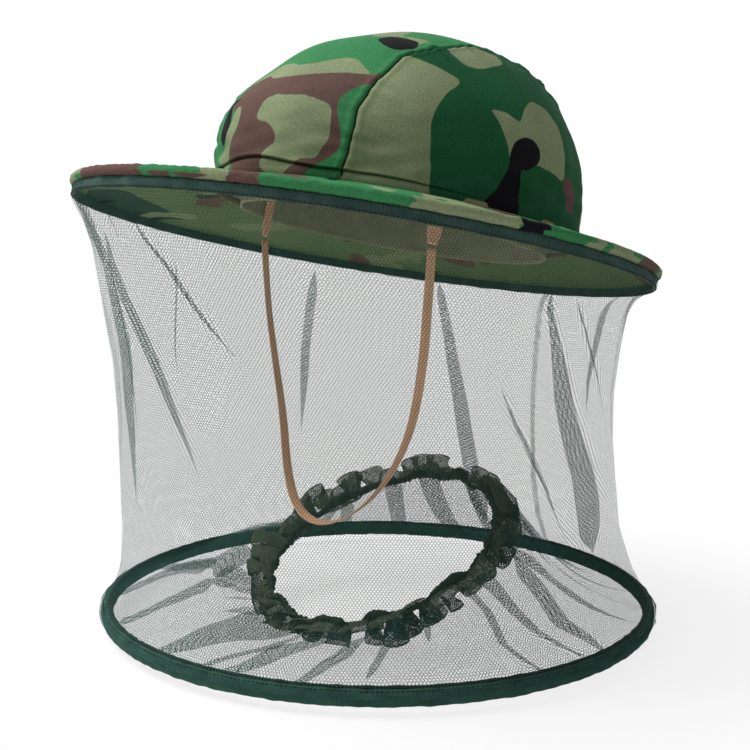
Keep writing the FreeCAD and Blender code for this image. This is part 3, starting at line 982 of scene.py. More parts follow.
@dataclass
class Crown:
    """The domed top of the hat: one panel from front to back and one over each ear."""

    finishes: Finishes
    half_width: float = 105.5
    half_length: float = 119.0
    foot: float = 3.5
    seam_foot: float = 5.0
    height: float = 107.0
    fullness: tuple[float, float] = (2.15, 2.14)
    lean: float = 0.06
    centre_foot: float = 119.0
    centre_top: float = 105.0
    cloth: float = 1.1
    lining: float = 0.8
    columns: int = 300

    def reach(self, share: np.ndarray) -> np.ndarray:
        """Width of the dome at a share of its height, as a share of its width at the foot."""
        along, outwards = self.fullness
        return np.clip(1 - np.clip(share, 0, 1) ** along, 0, 1) ** (1 / outwards)

    def top_share(self, offset: float, drift: float) -> float:
        """Share of the height at which a leaning upright line meets the middle of the dome.

        Args:
            offset: Distance from the middle plane at the foot.
            drift: How much nearer the line comes to it for each millimetre of height.

        Returns:
            The share, found by halving.
        """
        low, high = 0.0, 1.0
        for _ in range(40):
            middle = (low + high) / 2
            line = abs(offset - drift * self.height * middle)
            if self.half_width * float(self.reach(np.array(middle))) > line:
                low = middle
            else:
                high = middle
        return low

    def arch(self, offset: float, drift: float) -> np.ndarray:
        """One row of a panel, from the front of the foot over the dome to its back.

        Args:
            offset: Distance from the middle plane at the foot.
            drift: How much nearer the line comes to it for each millimetre of height.

        Returns:
            Columns by 3, in the hat's frame, closest together at the foot.
        """
        even = np.linspace(-1, 1, self.columns)
        angle = math.pi / 2 * (1 + 0.6 * np.sin(even * math.pi / 2) + 0.4 * even)
        share = self.top_share(offset, drift) * np.sin(angle)
        x = offset - drift * self.height * share
        half = np.sqrt(np.clip(self.reach(share) ** 2 - (x / self.half_width) ** 2, 0, 1))
        y = np.where(angle < math.pi / 2, -1, 1) * half * self.half_length + self.lean * self.height * share
        return np.stack([x, y, self.seam_foot + self.height * share], -1)

    def drift(self) -> float:
        """Lean of the crown seams towards the middle."""
        return (self.centre_foot - self.centre_top) / 2 / self.height

    def normals(self, points: np.ndarray) -> np.ndarray:
        """Outward directions of the plain dome.

        Args:
            points: Some of its points.

        Returns:
            One direction of length 1 for each point.
        """
        x, y, z = np.moveaxis(points, -1, 0)
        share = np.clip((z - self.seam_foot) / self.height, 1e-4, 0.9995)
        along, outwards = self.fullness
        fall = (2 / outwards) * (1 - share**along) ** (2 / outwards - 1) * along * share ** (along - 1)
        stretch = (y - self.lean * (z - self.seam_foot)) / self.half_length**2
        away = np.stack([x / self.half_width**2, stretch, fall / 2 / self.height - self.lean * stretch], -1)
        return away / np.linalg.norm(away, axis=-1, keepdims=True)

    def chart(self, points: np.ndarray) -> np.ndarray:
        """Flat chart of the dome: distance down from the top, 100 at the foot, by direction.

        Args:
            points: Points of the plain dome.

        Returns:
            Their places on the chart.
        """
        x, y, z = np.moveaxis(points, -1, 0)
        share = np.linspace(0, 1, 200)
        mean = (self.half_width + self.half_length) / 2
        down = arc_length(np.stack([self.reach(share) * mean, share * self.height], -1))
        fall = 100 * (1 - np.interp((z - self.seam_foot) / self.height, share, down) / down[-1])
        lean_y = y - self.lean * (z - self.seam_foot)
        heading = np.arctan2(x / self.half_width, -lean_y / self.half_length)
        return np.stack([fall * np.sin(heading), -fall * np.cos(heading)], -1)

    def heading(self, points: np.ndarray) -> np.ndarray:
        """Direction of points about the dome's middle, in degrees from the front to the left."""
        return np.degrees(np.arctan2(points[..., 0] / self.half_width, -points[..., 1] / self.half_length))

    def over_tuck(self, points: np.ndarray) -> np.ndarray:
        """Height above the edge of the tuck that is lapped over the crown's foot.

        Args:
            points: The plain dome.

        Returns:
            Heights in millimetres.
        """
        heading = self.heading(points)
        edge = 1.2 + 4.6 * bell((heading - 4) / 17) + 1.4 * bell((heading - 42) / 16)
        return points[..., 2] - self.seam_foot - edge

    def tucked(self, points: np.ndarray) -> np.ndarray:
        """How much of the tuck there is in the direction of each point."""
        return bell((self.heading(points) - 18) / 42)

    def crevice_shade(self, points: np.ndarray, seam_gap: np.ndarray) -> np.ndarray:
        """How much painted shade each point gets in a seam or under the tuck, from 0 to 1."""
        under = bell((self.over_tuck(points) + 0.4) / 0.45) * smooth_step(0.15, 0.5, self.tucked(points))
        return np.maximum(bell(seam_gap / 0.42), under)

    def shoulder(self, points: np.ndarray) -> np.ndarray:
        """How the worn crown bulges and sinks against the plain dome, ahead and behind.

        Args:
            points: The plain dome.

        Returns:
            Heights in millimetres.
        """
        share = (points[..., 2] - self.seam_foot) / self.height
        ahead = (1 + np.cos(np.radians(self.heading(points) + 10))) / 2
        behind = 1 - ahead
        bulge = 5.9 * ahead * bell((share - 0.35) / 0.24) + 4.7 * behind * bell((share - 0.88) / 0.12)
        bulge = bulge - 1.4 * behind * bell((share - 0.15) / 0.2)
        return bulge - (0.3 + 2.4 * ahead) * smooth_step(0.68, 0.94, share) - 0.8

    def relief(self, points: np.ndarray, seam_gap: np.ndarray, arc: np.ndarray) -> np.ndarray:
        """How far the sewn cloth stands out from the plain dome.

        Args:
            points: The plain dome.
            seam_gap: Distance of each point from the crown seam.
            arc: Distance along the seam.

        Returns:
            Heights in millimetres.
        """
        x, y, z = np.moveaxis(points, -1, 0)
        above = z - self.seam_foot
        over = self.over_tuck(points)
        valley = -1.5 * bell(seam_gap / 0.55) + 0.55 * bell((seam_gap - 2.1) / 1.4)
        puckers = 0.45 * Ripple(11, 6.0, 13.0)(arc, arc * 0.4) * bell(seam_gap / 9.0)
        slack = 0.75 * Ripple(12, 40.0, 100.0)(x, y, z)
        lapped = 1.8 * np.exp(-np.clip(over, 0, None) / 7) * smooth_step(-0.25, 0.25, over)
        tuck = self.tucked(points) * (lapped - 0.7 * bell((over + 0.8) / 0.7))
        creases = 0.34 * Ripple(13, 14.0, 34.0)(x, y, z * 2.2) * bell((above - 6) / 34.0)
        slant = (y - 0.5 * above + 48) / 4.0
        crease = -0.8 * bell(slant) * bell((above - 34) / 16) * smooth_step(70, 90, x)
        return valley + puckers + slack + self.shoulder(points) + tuck + creases + crease

    def panel(self, name: str, lines: list[tuple[float, float]], side: int, cloth: Print) -> bpy.types.Object:
        """One panel of the crown.

        Args:
            name: Name of the piece.
            lines: Offset and drift of each row.
            side: 1 for the wearer's left, -1 for the right, 0 for the middle.
            cloth: Cut of the print.

        Returns:
            The panel, without its thickness.
        """
        points = np.stack([self.arch(offset, drift) for offset, drift in lines])
        arc = arc_length(self.arch(self.centre_foot / 2, self.drift()))
        line = self.centre_foot / 2 - self.drift() * (points[..., 2] - self.seam_foot)
        gap = np.abs(np.abs(points[..., 0]) - line)
        if side < 0:
            points[..., 0] *= -1
        out = self.relief(points, gap, np.broadcast_to(arc, gap.shape))
        chart = self.chart(points)
        # Painted shade for the seams and under the tuck, carried to the cloth by the crease mark.
        deep = np.pad(self.crevice_shade(points, gap), ((0, 0), (1, 1)), mode="edge")
        wander = Ripple(14, 14.0, 34.0)(arc, arc * 0.3) * bell(gap / 12.0)
        points = points + self.normals(points) * out[..., None]
        points[..., 0] += wander * np.sign(points[..., 0])
        hem = points[:, [0, -1]] + np.array([0, 0, self.foot - self.seam_foot - 4])
        points = np.concatenate([hem[:, :1], points, hem[:, 1:]], axis=1)
        chart = np.concatenate([chart[:, :1] * 1.03, chart, chart[:, -1:] * 1.03], axis=1)
        marks = cloth.marks(chart) | {"crease": deep}
        return sew(name, WORN.out(points), chart=chart * cloth.unit, marks=marks, outward=INSIDE_HAT)

    def build(self) -> None:
        """Makes the three panels and the lining."""
        even = np.linspace(-1, 1, 100)
        spaced = 0.85 * np.sin(even * math.pi / 2) + 0.15 * even
        centre = [(u * self.centre_foot / 2, u * self.drift()) for u in spaced]
        turns = (1 - np.cos(np.linspace(0, math.pi, 70))) / 2
        wide = self.half_width - self.centre_foot / 2
        side = [(self.centre_foot / 2 + w * wide, self.drift() * (1 - w)) for w in turns]
        back = Print(CROWN_PATCHES, CHART_UNIT, 21, (-38, 38, -4, 110), 22)
        right = Print((), CHART_UNIT, 34, (-110, 110, -110, 110), 44)
        left = Print(LEFT_PATCHES, CHART_UNIT, 52, (10, 90, 40, 110), 9)
        panels = (("centre", centre, 0, back), ("left", side, 1, left), ("right", side, -1, right))
        for label, lines, hand, cut in panels:
            node = f"crown_panel_{label}"
            panel = self.panel(f"{node}_cloth", lines, hand, cut)
            camouflage = self.finishes.camouflage
            join_up(panel, Body.HAT, "camouflage_cloth", node, finish=camouflage, thickness=self.cloth)
        self.line_crown()

    def line_crown(self) -> None:
        """Makes the loose lining under the dome, which hides the tapes over the seams."""
        gap = 3.2
        inner = Crown(self.finishes, self.half_width - gap, self.half_length - gap, height=self.height - 3.4)
        halves = np.sin(np.linspace(-math.pi / 2, math.pi / 2, 60)) * inner.half_width
        points = np.stack([inner.arch(offset, 0.0) for offset in halves])
        slack = Ripple(15, 30.0, 80.0)(*np.moveaxis(points, -1, 0))
        chart = inner.chart(points) * CHART_UNIT
        points = points - inner.normals(points) * (1.0 + 0.6 * slack[..., None])
        lining = sew("crown_lining_cloth", WORN.out(points), chart=chart, outward=INSIDE_HAT)
        nodes = ("crown_lining", "crown_seam_tape_left", "crown_seam_tape_right")
        cotton = self.finishes.lining
        join_up(lining, Body.HAT, "lining_cloth", *nodes, finish=cotton, thickness=self.lining)


# ---------------------------------------------------------------- sweatband
@dataclass
class Sweatband:
    """The band inside the head opening, the ledge that joins it to the crown, and the strap tabs."""

    finishes: Finishes
    half_width: float = 84.0
    half_length: float = 100.0
    thickness: float = 1.5
    low: float = -10.0
    high: float = 26.0
    columns: int = 300
    tab_middle: tuple[float, float, float] = (75.4, -41.0, -8.0)
    tab_top: float = 5.0
    tab_length: float = 26.0
    crown_width: float = 105.5
    crown_length: float = 119.0

    def build(self) -> None:
        """Makes the band, its stitching, the ledge, the base tape and both tabs."""
        turn = around(self.columns)
        heights = np.linspace(self.low, self.high, 22)
        wide, long = self.half_width + self.thickness, self.half_length + self.thickness
        points = oval(turn, wide, long, heights[:, None])
        wave = Ripple(16, 25.0, 60.0)(points[..., 0], points[..., 1], points[..., 2] * 0.4)
        points[..., :2] *= 1 + 0.004 * np.minimum(wave, 0.3)[..., None]
        chart = laid_flat(wrapped(self.columns, 92.0), heights)
        band = sew("sweatband_cloth", WORN.out(points), closed=True, chart=chart, outward=INSIDE_HAT)
        cotton = self.finishes.sweatband
        join_up(band, Body.HAT, "lining_cloth", "headband", finish=cotton, thickness=self.thickness)
        self.ledge()
        inset = 3.0
        for height in (self.low + inset, self.high - inset):
            line = WORN.out(oval(turn, self.half_width - 0.1, self.half_length - 0.1, height))
            row = StitchRow("sweatband_stitches", line, pitch=3.4)
            join_up(row.sewn(self.finishes.thread), Body.HAT, "lining_cloth")
        for side, node in ((1, "strap_tab_left"), (-1, "strap_tab_right")):
            self.tab(side, node)

    def ledge(self) -> None:
        """Makes the cloth ledge from the band out to the crown, and the tape at the crown's foot."""
        turn = around(self.columns)
        cotton = self.finishes.lining
        share = np.linspace(0, 1, 8)[:, None]
        wide, long = self.half_width + 1.9 + share * 17.2, self.half_length + 1.9 + share * 14.7
        points = oval(turn, wide, long, 0.7 + 0.4 * np.sin(share * math.pi) * np.sin(turn * 31))
        chart = laid_flat(wrapped(self.columns, 100.0), np.arange(8) * 2.5)
        below = WORN.inner(0, 0, -200.0)
        ledge = sew("sweatband_ledge", WORN.out(points), closed=True, chart=chart, outward=below)
        join_up(ledge, Body.HAT, "lining_cloth", "headband_gusset", finish=cotton, thickness=1.0)
        height, out = np.array(((-3.8, 2.2), (-1.0, 1.6), (2.0, 1.6), (4.6, 1.9))).T[..., None]
        points = oval(turn, self.crown_width - out, self.crown_length - out, height)
        chart = laid_flat(wrapped(self.columns, 110.0), np.arange(4) * 2.8)
        tape = sew("crown_foot_tape", WORN.out(points), closed=True, chart=chart, outward=INSIDE_HAT)
        join_up(tape, Body.HAT, "lining_cloth", "crown_base_tape", finish=cotton, thickness=0.8)

    def tab(self, side: int, node: str) -> None:
        """Makes one folded webbing tab that carries the chin strap.

        Args:
            side: 1 for the wearer's left, -1 for the right.
            node: Part of the frame that it stands for.
        """
        x, y, z = self.tab_middle
        slope = math.atan2(y / self.half_length**2, x / self.half_width**2)
        share = np.linspace(0, 1, 26)[:, None]
        angle = around(20)
        across = (4.4 - 1.4 * smooth_step(0.7, 1.0, share)) * squared_off(np.cos(angle), 0.35)
        deep = (0.8 + 0.12 * np.sin(share * 40)) * squared_off(np.sin(angle), 0.7)
        wide = side * (x + deep * math.cos(slope)) - side * across * math.sin(slope)
        long = y + deep * math.sin(slope) + across * math.cos(slope)
        height = self.tab_top - self.tab_length * share
        points = capped(np.stack(np.broadcast_arrays(wide, long, height), -1))
        chart = laid_flat(np.linspace(0, 24, 21), np.linspace(0, self.tab_length, len(points)))
        inside = WORN.inner(side * x, y, z)
        tab = sew(f"{node}_webbing", WORN.out(points), closed=True, chart=chart, outward=inside)
        remesh(tab, weld=True)
        join_up(tab, Body.HAT, "strap_elastic", node, finish=self.finishes.strap)


# ---------------------------------------------------------------- brim
DEGREE_WIDTH = 3.0   # millimetres of the brim's edge for one degree


def brim_patch(tone: Tone, *corners: tuple[float, float]) -> Patch:
    """A patch of the brim's print, from angles in degrees and distances in from the rolled edge."""
    return Patch(tone, tuple((DEGREE_WIDTH * angle, inward) for angle, inward in corners))


BRIM_PATCHES = (
    brim_patch(Tone.SAND, (236, -9), (240, 14), (252, 12), (257, -9)),
    brim_patch(Tone.EARTH, (257, -9), (255, 14), (266, 22), (277, 16), (275, -9)),
    brim_patch(Tone.SAND, (291, -9), (289, 20), (294, 30), (297, 10), (296, -9)),
    brim_patch(Tone.EARTH, (296, -9), (295, 14), (298, 24), (301, 12), (300, -9)),
    brim_patch(Tone.SAND, (327, -9), (325, 16), (334, 28), (342, 20), (343, -9)),
    brim_patch(Tone.SHADE, (344, -9), (343, 12), (347, 18), (349, -9)),
    brim_patch(Tone.SAND, (365, -9), (364, 24), (370, 26), (371, -9)),
    brim_patch(Tone.EARTH, (377, -9), (375, 22), (384, 30), (386, -9)),
    brim_patch(Tone.EARTH, (402, -9), (404, 12), (412, 22), (421, 14), (418, -9)),
    brim_patch(Tone.SAND, (428, -9), (427, 16), (436, 26), (441, 8), (439, -9)),
    brim_patch(Tone.SHADE, (452, 2), (455, 14), (461, 18), (463, 7), (458, 1)),
    brim_patch(Tone.EARTH, (470, -9), (469, 14), (477, 24), (488, 17), (486, -9)),
    brim_patch(Tone.SAND, (499, -9), (502, 18), (509, 28), (514, 12), (511, -9)),
    brim_patch(Tone.EARTH, (524, -9), (523, 20), (531, 27), (540, 12), (537, -9)),
    brim_patch(Tone.SAND, (548, -9), (546, 10), (551, 22), (557, 12), (555, -9)),
)
UNDERSIDE_PATCHES = (
    Patch(Tone.DARK_GREEN_AND_SHADE, ((-150, -30), (-125, -75), (-95, -110), (-105, -128), (-140, -100), (-165, -50))),
    Patch(Tone.DARK_GREEN_AND_SHADE, ((-98, -55), (-86, -66), (-78, -58), (-88, -46))),
    Patch(Tone.EARTH, ((-70, -80), (-50, -92), (-45, -84), (-62, -70))),
)


@dataclass
class Brim:
    """The stiff round brim: two cloth faces, a rolled edge over a wire, and its binding."""

    finishes: Finishes
    stack: float = 4.4
    edge: float = 3.1
    tape: float = 3.1
    inner_width: float = 104.6
    inner_length: float = 118.1
    cloth: float = 1.0
    columns: int = 480

    def face(self, share: np.ndarray, lift: float) -> np.ndarray:
        """Rows of one face of the brim, from the crown out to the roll.

        Args:
            share: Where the rows lie, 0 at the crown and 1 at the roll.
            lift: Height above the middle of the stack.

        Returns:
            Rows by columns by 3, in the hat's frame.
        """
        turn = around(self.columns)
        inner = oval(turn, self.inner_width, self.inner_length, lift)
        outer = ring(turn, BRIM_RADIUS - self.edge * 0.8, lift) + BRIM_MIDDLE
        share = share[:, None, None]
        return inner[None] * (1 - share) + outer[None] * share

    def chart(self, turn: np.ndarray, inward: np.ndarray) -> np.ndarray:
        """Chart of the brim's print.

        Args:
            turn: Angles in radians.
            inward: Distance in from the middle of the roll.

        Returns:
            Places on the chart, which starts on the wearer's right, behind the ear.
        """
        degrees = np.degrees(turn) % 360
        degrees = np.where(degrees < 200, degrees + 360, degrees)
        return np.stack(np.broadcast_arrays(DEGREE_WIDTH * degrees, inward), -1)

    def sew_face(
        self, name: str, points: np.ndarray, marks: dict[str, np.ndarray], inside: float
    ) -> bpy.types.Object:
        """Sews one face of the brim.

        Args:
            name: Name of the piece.
            points: Rows of the face, in the hat's frame.
            marks: Inks of its print.
            inside: Height of a point that the face looks away from.

        Returns:
            The face, without its thickness.
        """
        cloth_map = np.concatenate([points, points[:, :1]], axis=1)[..., :2]
        outward = WORN.inner(0, -23.0, inside)
        return sew(name, WORN.out(points), closed=True, chart=cloth_map, marks=marks, outward=outward)

    def build(self) -> None:
        """Makes both faces, the roll, the binding and their stitching."""
        share = np.linspace(0, 1, 34)
        top = self.face(share, self.stack / 2)
        swell = Ripple(17, 35.0, 90.0)(top[..., 0], top[..., 1])
        edge = bell((share - 1) / 0.06)[:, None] * 0.5
        top[..., 2] += 0.55 * swell * np.sin(share * math.pi)[:, None] + edge
        upper = Print(BRIM_PATCHES, 1.0, 61, (600, 1680, 22, 80), 60, 20.0)
        x, y, _ = np.moveaxis(top - BRIM_MIDDLE, -1, 0)
        inks = upper.marks(self.chart(np.arctan2(y, x), BRIM_RADIUS - np.hypot(x, y)))
        cloth = self.sew_face("brim_top_cloth", top, inks, -300.0)
        nodes = ("brim_top", "brim_interlining")
        camouflage = self.finishes.camouflage
        join_up(cloth, Body.HAT, "camouflage_cloth", *nodes, finish=camouflage, thickness=self.cloth)
        self.underside(share)
        self.roll(upper)
        self.binding()

    def underside(self, share: np.ndarray) -> None:
        """Makes the cloth under the brim.

        Args:
            share: Where its rows lie, 0 at the crown and 1 at the roll.
        """
        low = self.face(share, -self.stack / 2)
        swell = Ripple(18, 30.0, 80.0)(low[..., 0], low[..., 1])
        low[..., 2] += 0.5 * swell * np.sin(share * math.pi)[:, None]
        flat = low - BRIM_MIDDLE
        low[..., :2] += flat[..., :2] * 0.009 * smooth_step(0.9, 1.0, share)[:, None, None]
        low[..., 2] -= 1.3 * smooth_step(0.95, 1.0, share)[:, None]
        lower = Print(UNDERSIDE_PATCHES, 1.0, 77, (-170, 170, -170, 170), 46, 19.0)
        cloth = self.sew_face("brim_underside_cloth", low, lower.marks(flat[..., :2]), 300.0)
        finish = self.finishes.underside
        join_up(cloth, Body.HAT, "camouflage_cloth", "brim_underside", finish=finish, thickness=self.cloth)

    def roll(self, cloth: Print) -> None:
        """Makes the cloth roll round the brim's edge.

        Args:
            cloth: Cut of the print, shared with the brim's top.
        """
        turn = around(self.columns * 2)
        section = around(22)[:, None]
        x, y, _ = ring(turn, BRIM_RADIUS, 0.0).T
        size = self.edge * (1 + 0.035 * Ripple(19, 5.0, 12.0)(x[None], y[None], 9 * np.sin(section)))
        points = ring(turn, BRIM_RADIUS + size * np.cos(section), size * np.sin(section) * 0.96)
        inks = cloth.marks(self.chart(turn, 3.4 * (section - math.pi / 2)))
        cloth_map = laid_flat(wrapped(len(turn), BRIM_RADIUS), wrapped(22, self.edge))
        points = WORN.out(points + BRIM_MIDDLE)
        piece = sew("brim_edge_roll_cloth", points, closed=True, tube=True, chart=cloth_map, marks=inks)
        join_up(piece, Body.HAT, "camouflage_cloth", "brim_edge_roll", finish=self.finishes.camouflage)

    def binding(self) -> None:
        """Makes the green tape under the roll, to which the net is sewn, and its stitches."""
        turn = around(self.columns * 2)
        section = around(18)[:, None]
        x, y, _ = ring(turn, BRIM_RADIUS, 0.0).T
        wave = Ripple(20, 12.0, 30.0)(x, y)[None]
        reach = BRIM_RADIUS + 0.95 * squared_off(np.cos(section), 0.6) + 0.2 * wave
        middle = -self.edge + 0.4 - self.tape
        height = middle + self.tape * squared_off(np.sin(section), 0.5) + 0.15 * wave
        points = WORN.out(ring(turn, reach, height) + BRIM_MIDDLE)
        chart = laid_flat(wrapped(len(turn), BRIM_RADIUS), wrapped(18, 2.4))
        tape = sew("brim_binding_tape", points, closed=True, tube=True, chart=chart)
        join_up(tape, Body.HAT, "green_binding", "brim_binding", finish=self.finishes.binding)
        for level in (middle + self.tape - 0.9, middle - self.tape + 0.7):
            line = WORN.out(ring(turn, BRIM_RADIUS + 1.0, level) + BRIM_MIDDLE)
            row = StitchRow("brim_binding_stitches", line, 2.6, 2.5, 0.9)
            join_up(row.sewn(self.finishes.dark_thread), Body.HAT, "green_binding")


# ---------------------------------------------------------------- nets
@dataclass(frozen=True)
class Fold:
    """A fold where a net doubles back on itself and lies in three layers.

    Its path is angle in degrees, share of the fall and size there, its depth is how far the cloth
    doubles back, and it opens out over the given share at both ends."""

    path: tuple[tuple[float, float, float], ...]
    width: float
    depth: float
    open_top: float = 0.15
    open_foot: float = 0.4
    lift: float = 1.6

    def laid(self, turn: np.ndarray, share: np.ndarray, radius: Values) -> tuple[np.ndarray, ...]:
        """Shift of the cloth along the ring and out of it, and how closely it is bunched.

        Args:
            turn: Angle of each point, in radians.
            share: Share of the fall of each point.
            radius: Radius used for distances along the ring.

        Returns:
            The shifts along the ring and outwards, in millimetres, and the bunching from 0 to 1.
        """
        degrees, shares, sizes = np.array(self.path).T
        centre = np.radians(np.interp(share, shares, degrees))
        near = (turn - centre + math.pi) % TURN - math.pi
        size = np.interp(share, shares, sizes)
        x = near * radius / (self.width * size)
        start, end = shares[0], shares[-1]
        opening = smooth_step(start - 1e-4, start + self.open_top, share)
        ease = opening * (1 - smooth_step(end - self.open_foot, end + 1e-4, share))
        along = -self.depth * size * ease * x * np.exp(0.5 - x * x / 2)
        out = self.lift * ease * x * np.exp(-x * x / 6)
        turned = self.depth / self.width * ease * (1 - x * x) * np.exp(0.5 - x * x / 2)
        return along, out, smooth_step(1.0, 1.5, turned)


def folded(
    folds: tuple[Fold, ...], turn: np.ndarray, share: np.ndarray, radius: Values
) -> tuple[np.ndarray, ...]:
    """Lays all the folds of a net.

    Args:
        folds: The folds.
        turn: Angle of each point, in radians.
        share: Share of the fall of each point.
        radius: Radius used for distances along the ring.

    Returns:
        The sums of their shifts along and outwards, and the closest bunching.
    """
    along, out, bunched = zip(*(fold.laid(turn, share, radius) for fold in folds))
    return sum(along), sum(out), np.maximum.reduce(bunched)


VEIL_FOLDS = (
    Fold(
        ((246, 0, 1), (255, 0.15, 1), (258, 0.3, 1), (256, 0.45, 1), (258, 0.85, 1)),
        5.0, 11.0, 0.12, 0.5,
    ),
    Fold(
        ((254, 0, 0.6), (263, 0.22, 1), (268, 0.3, 1), (279, 0.5, 1), (290, 0.72, 1)),
        3.6, 8.0, 0.2, 0.45,
    ),
    Fold(((266, 0.03, 1), (279, 0.16, 1), (287, 0.25, 1), (298, 0.37, 1)), 1.6, 3.4, 0.1, 0.16, 1.0),
    Fold(((243, 0.12, 1), (240, 0.4, 1), (243, 0.8, 1)), 2.0, 4.2, 0.2, 0.4, 1.0),
    Fold(
        ((353.5, 0.09, 0.13), (354.5, 0.15, 0.16), (358, 0.225, 0.24), (361, 0.285, 0.36),
         (367.5, 0.435, 0.6), (373, 0.55, 0.85), (375, 0.64, 1.0), (374, 0.74, 0.8), (372, 0.8, 0.5)),
        13.0, 37.0, 0.05, 0.1, 2.2,
    ),
    Fold(
        ((359.5, 0.08, 0.6), (370.5, 0.215, 0.8), (379, 0.32, 1), (387, 0.45, 0.8)),
        2.8, 7.6, 0.08, 0.12,
    ),
    Fold(((390, 0, 0.8), (389, 0.14, 1), (391, 0.3, 1), (393, 0.6, 0.8)), 2.2, 5.6, 0.05, 0.3, 1.2),
    Fold(((340, 0.24, 1), (348, 0.42, 1), (357, 0.57, 1), (368, 0.84, 1)), 1.7, 3.7, 0.2, 0.3, 1.0),
    Fold(((190, 0.05, 1), (192, 0.2, 1), (195.5, 0.36, 1), (196, 0.6, 1)), 1.8, 3.8, 0.12, 0.3),
    Fold(((222, 0, 1), (219, 0.3, 1), (216, 0.8, 1)), 3.0, 6.4),
    Fold(((62, 0, 1), (64, 0.3, 1), (66, 0.6, 1)), 1.8, 3.6, 0.15, 0.4),
    Fold(((120, 0, 0.3), (113, 0.5, 0.8), (108, 1, 1)), 4.2, 10.6, 0.1, 0.14),
    Fold(((150, 0, 1), (156, 0.35, 1), (160, 0.8, 1)), 3.0, 6.4),
)


@dataclass
class Veil:
    """The net that hangs from the brim's binding to the lower hoop."""

    finishes: Finishes
    hoop: "LowerHoop"
    columns: int = 1000
    rows: int = 98
    radius: float = 155.0
    cloth_radius: float = 168.0
    drop: float = 235.0
    pulls: tuple[tuple[float, float], ...] = (
        (0.0, 0.0), (0.022, 0.3), (0.06, 5.5), (0.12, 10.5), (0.24, 15.5), (0.36, 20.0), (0.5, 21.8),
        (0.62, 21.5), (0.76, 19.6), (0.88, 14.8), (0.96, 8.0), (0.978, 4.2), (0.986, 0.6), (1.0, 0.0),
    )

    def surface(self, turn: np.ndarray, share: np.ndarray, out: np.ndarray) -> np.ndarray:
        """Points of the veil.

        Args:
            turn: Angles in radians.
            share: Shares of the fall from brim to hoop.
            out: Distance outwards.

        Returns:
            Points in the part's frame.
        """
        head = WORN.out(BRIM_MIDDLE + np.array([0, 0, -3.4]))
        foot = self.hoop.middle + np.array([0, 0, 0.3])
        head_radius = BRIM_RADIUS + 1.55
        foot_radius = self.hoop.radius + self.hoop.half_width + 0.7
        fallen = smooth_step(0, 0.09, share) * smooth_step(1.0, 0.72, share)
        left, front = (bell(turned_by(turn, degrees) / 0.75) for degrees in (38, 236))
        pull = np.interp(share, *np.array(self.pulls).T) + fallen * (7.5 - 2.5 * share) * left
        pull = pull - 3.2 * bell((share - 0.68) / 0.25) * front
        radius = head_radius + (foot_radius - head_radius) * share - pull + out
        tilt = math.radians(hat_tilt()) * (1 - share) ** 2
        level = radius * np.sin(turn)
        round_points = np.stack([radius * np.cos(turn), level * np.cos(tilt), level * np.sin(tilt)], -1)
        return round_points + head + (foot - head) * share[..., None]

    def wave(self, turn: np.ndarray, share: np.ndarray) -> np.ndarray:
        """Slow waves of the hanging net, still at both ends."""
        x, y, _ = np.moveaxis(ring(turn, self.radius, 0.0), -1, 0)
        return 1.7 * Ripple(23, 45.0, 110.0)(x, y, 60 * share) * np.sin(share * math.pi) ** 0.5

    def build(self) -> None:
        """Makes the net and the narrow seam at its back."""
        turn, share = np.meshgrid(around(self.columns), np.linspace(0, 1, self.rows))
        along, out, bunched = folded(VEIL_FOLDS, turn, share, self.radius)
        x, y, _ = np.moveaxis(ring(turn, self.radius, 0.0), -1, 0)
        head = bell(share / 0.13) * smooth_step(0, 0.02, share)
        foot = bell((1 - share) / 0.12) * smooth_step(1, 0.98, share)
        out = out + self.wave(turn, share)
        out += 1.1 * Ripple(24, 9.0, 19.0)(x, y, 12 * share) * head
        out += 0.8 * Ripple(25, 10.0, 24.0)(x, y, 14 * share) * foot
        points = self.surface(turn + along / self.radius, share, out)
        chart = laid_flat(wrapped(self.columns, self.cloth_radius), self.drop * share[:, 0])
        hem = {"hem": np.maximum(0.2 * bunched, 0.62 * smooth_step(0.982, 0.986, share))}
        net = sew("veil_net_cloth", points, closed=True, chart=chart, marks=hem, outward=(0, -15, -120))
        dress(net, self.finishes.net)
        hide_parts("veil_net")
        self.hang(net)
        self.back_seam()

    def hang(self, piece: bpy.types.Object) -> None:
        """Bakes a piece's place into its mesh; the piece hangs between the hat and the hoop.

        Args:
            piece: The net or its seam.
        """
        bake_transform(piece)
        LOG.info("%s hangs between hat and hoop", piece.name)

    def back_seam(self) -> None:
        """Makes the narrow strip where the net's ends are sewn together."""
        share, across = np.meshgrid(np.linspace(0, 1, self.rows), np.linspace(-2, 2, 9), indexing="ij")
        turn = TURN / 4 + across / 158
        fall = self.drop * share
        out = -1.1 + 0.35 * Ripple(26, 8.0, 16.0)(across, fall) + self.wave(turn, share)
        points = self.surface(turn, share, out)
        strip = sew("veil_seam_strip", points, chart=np.stack([across, fall], -1), outward=(0, 0, -120))
        dress(strip, self.finishes.net)
        thicken(strip, 0.4)
        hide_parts("veil_seam")
        self.hang(strip)


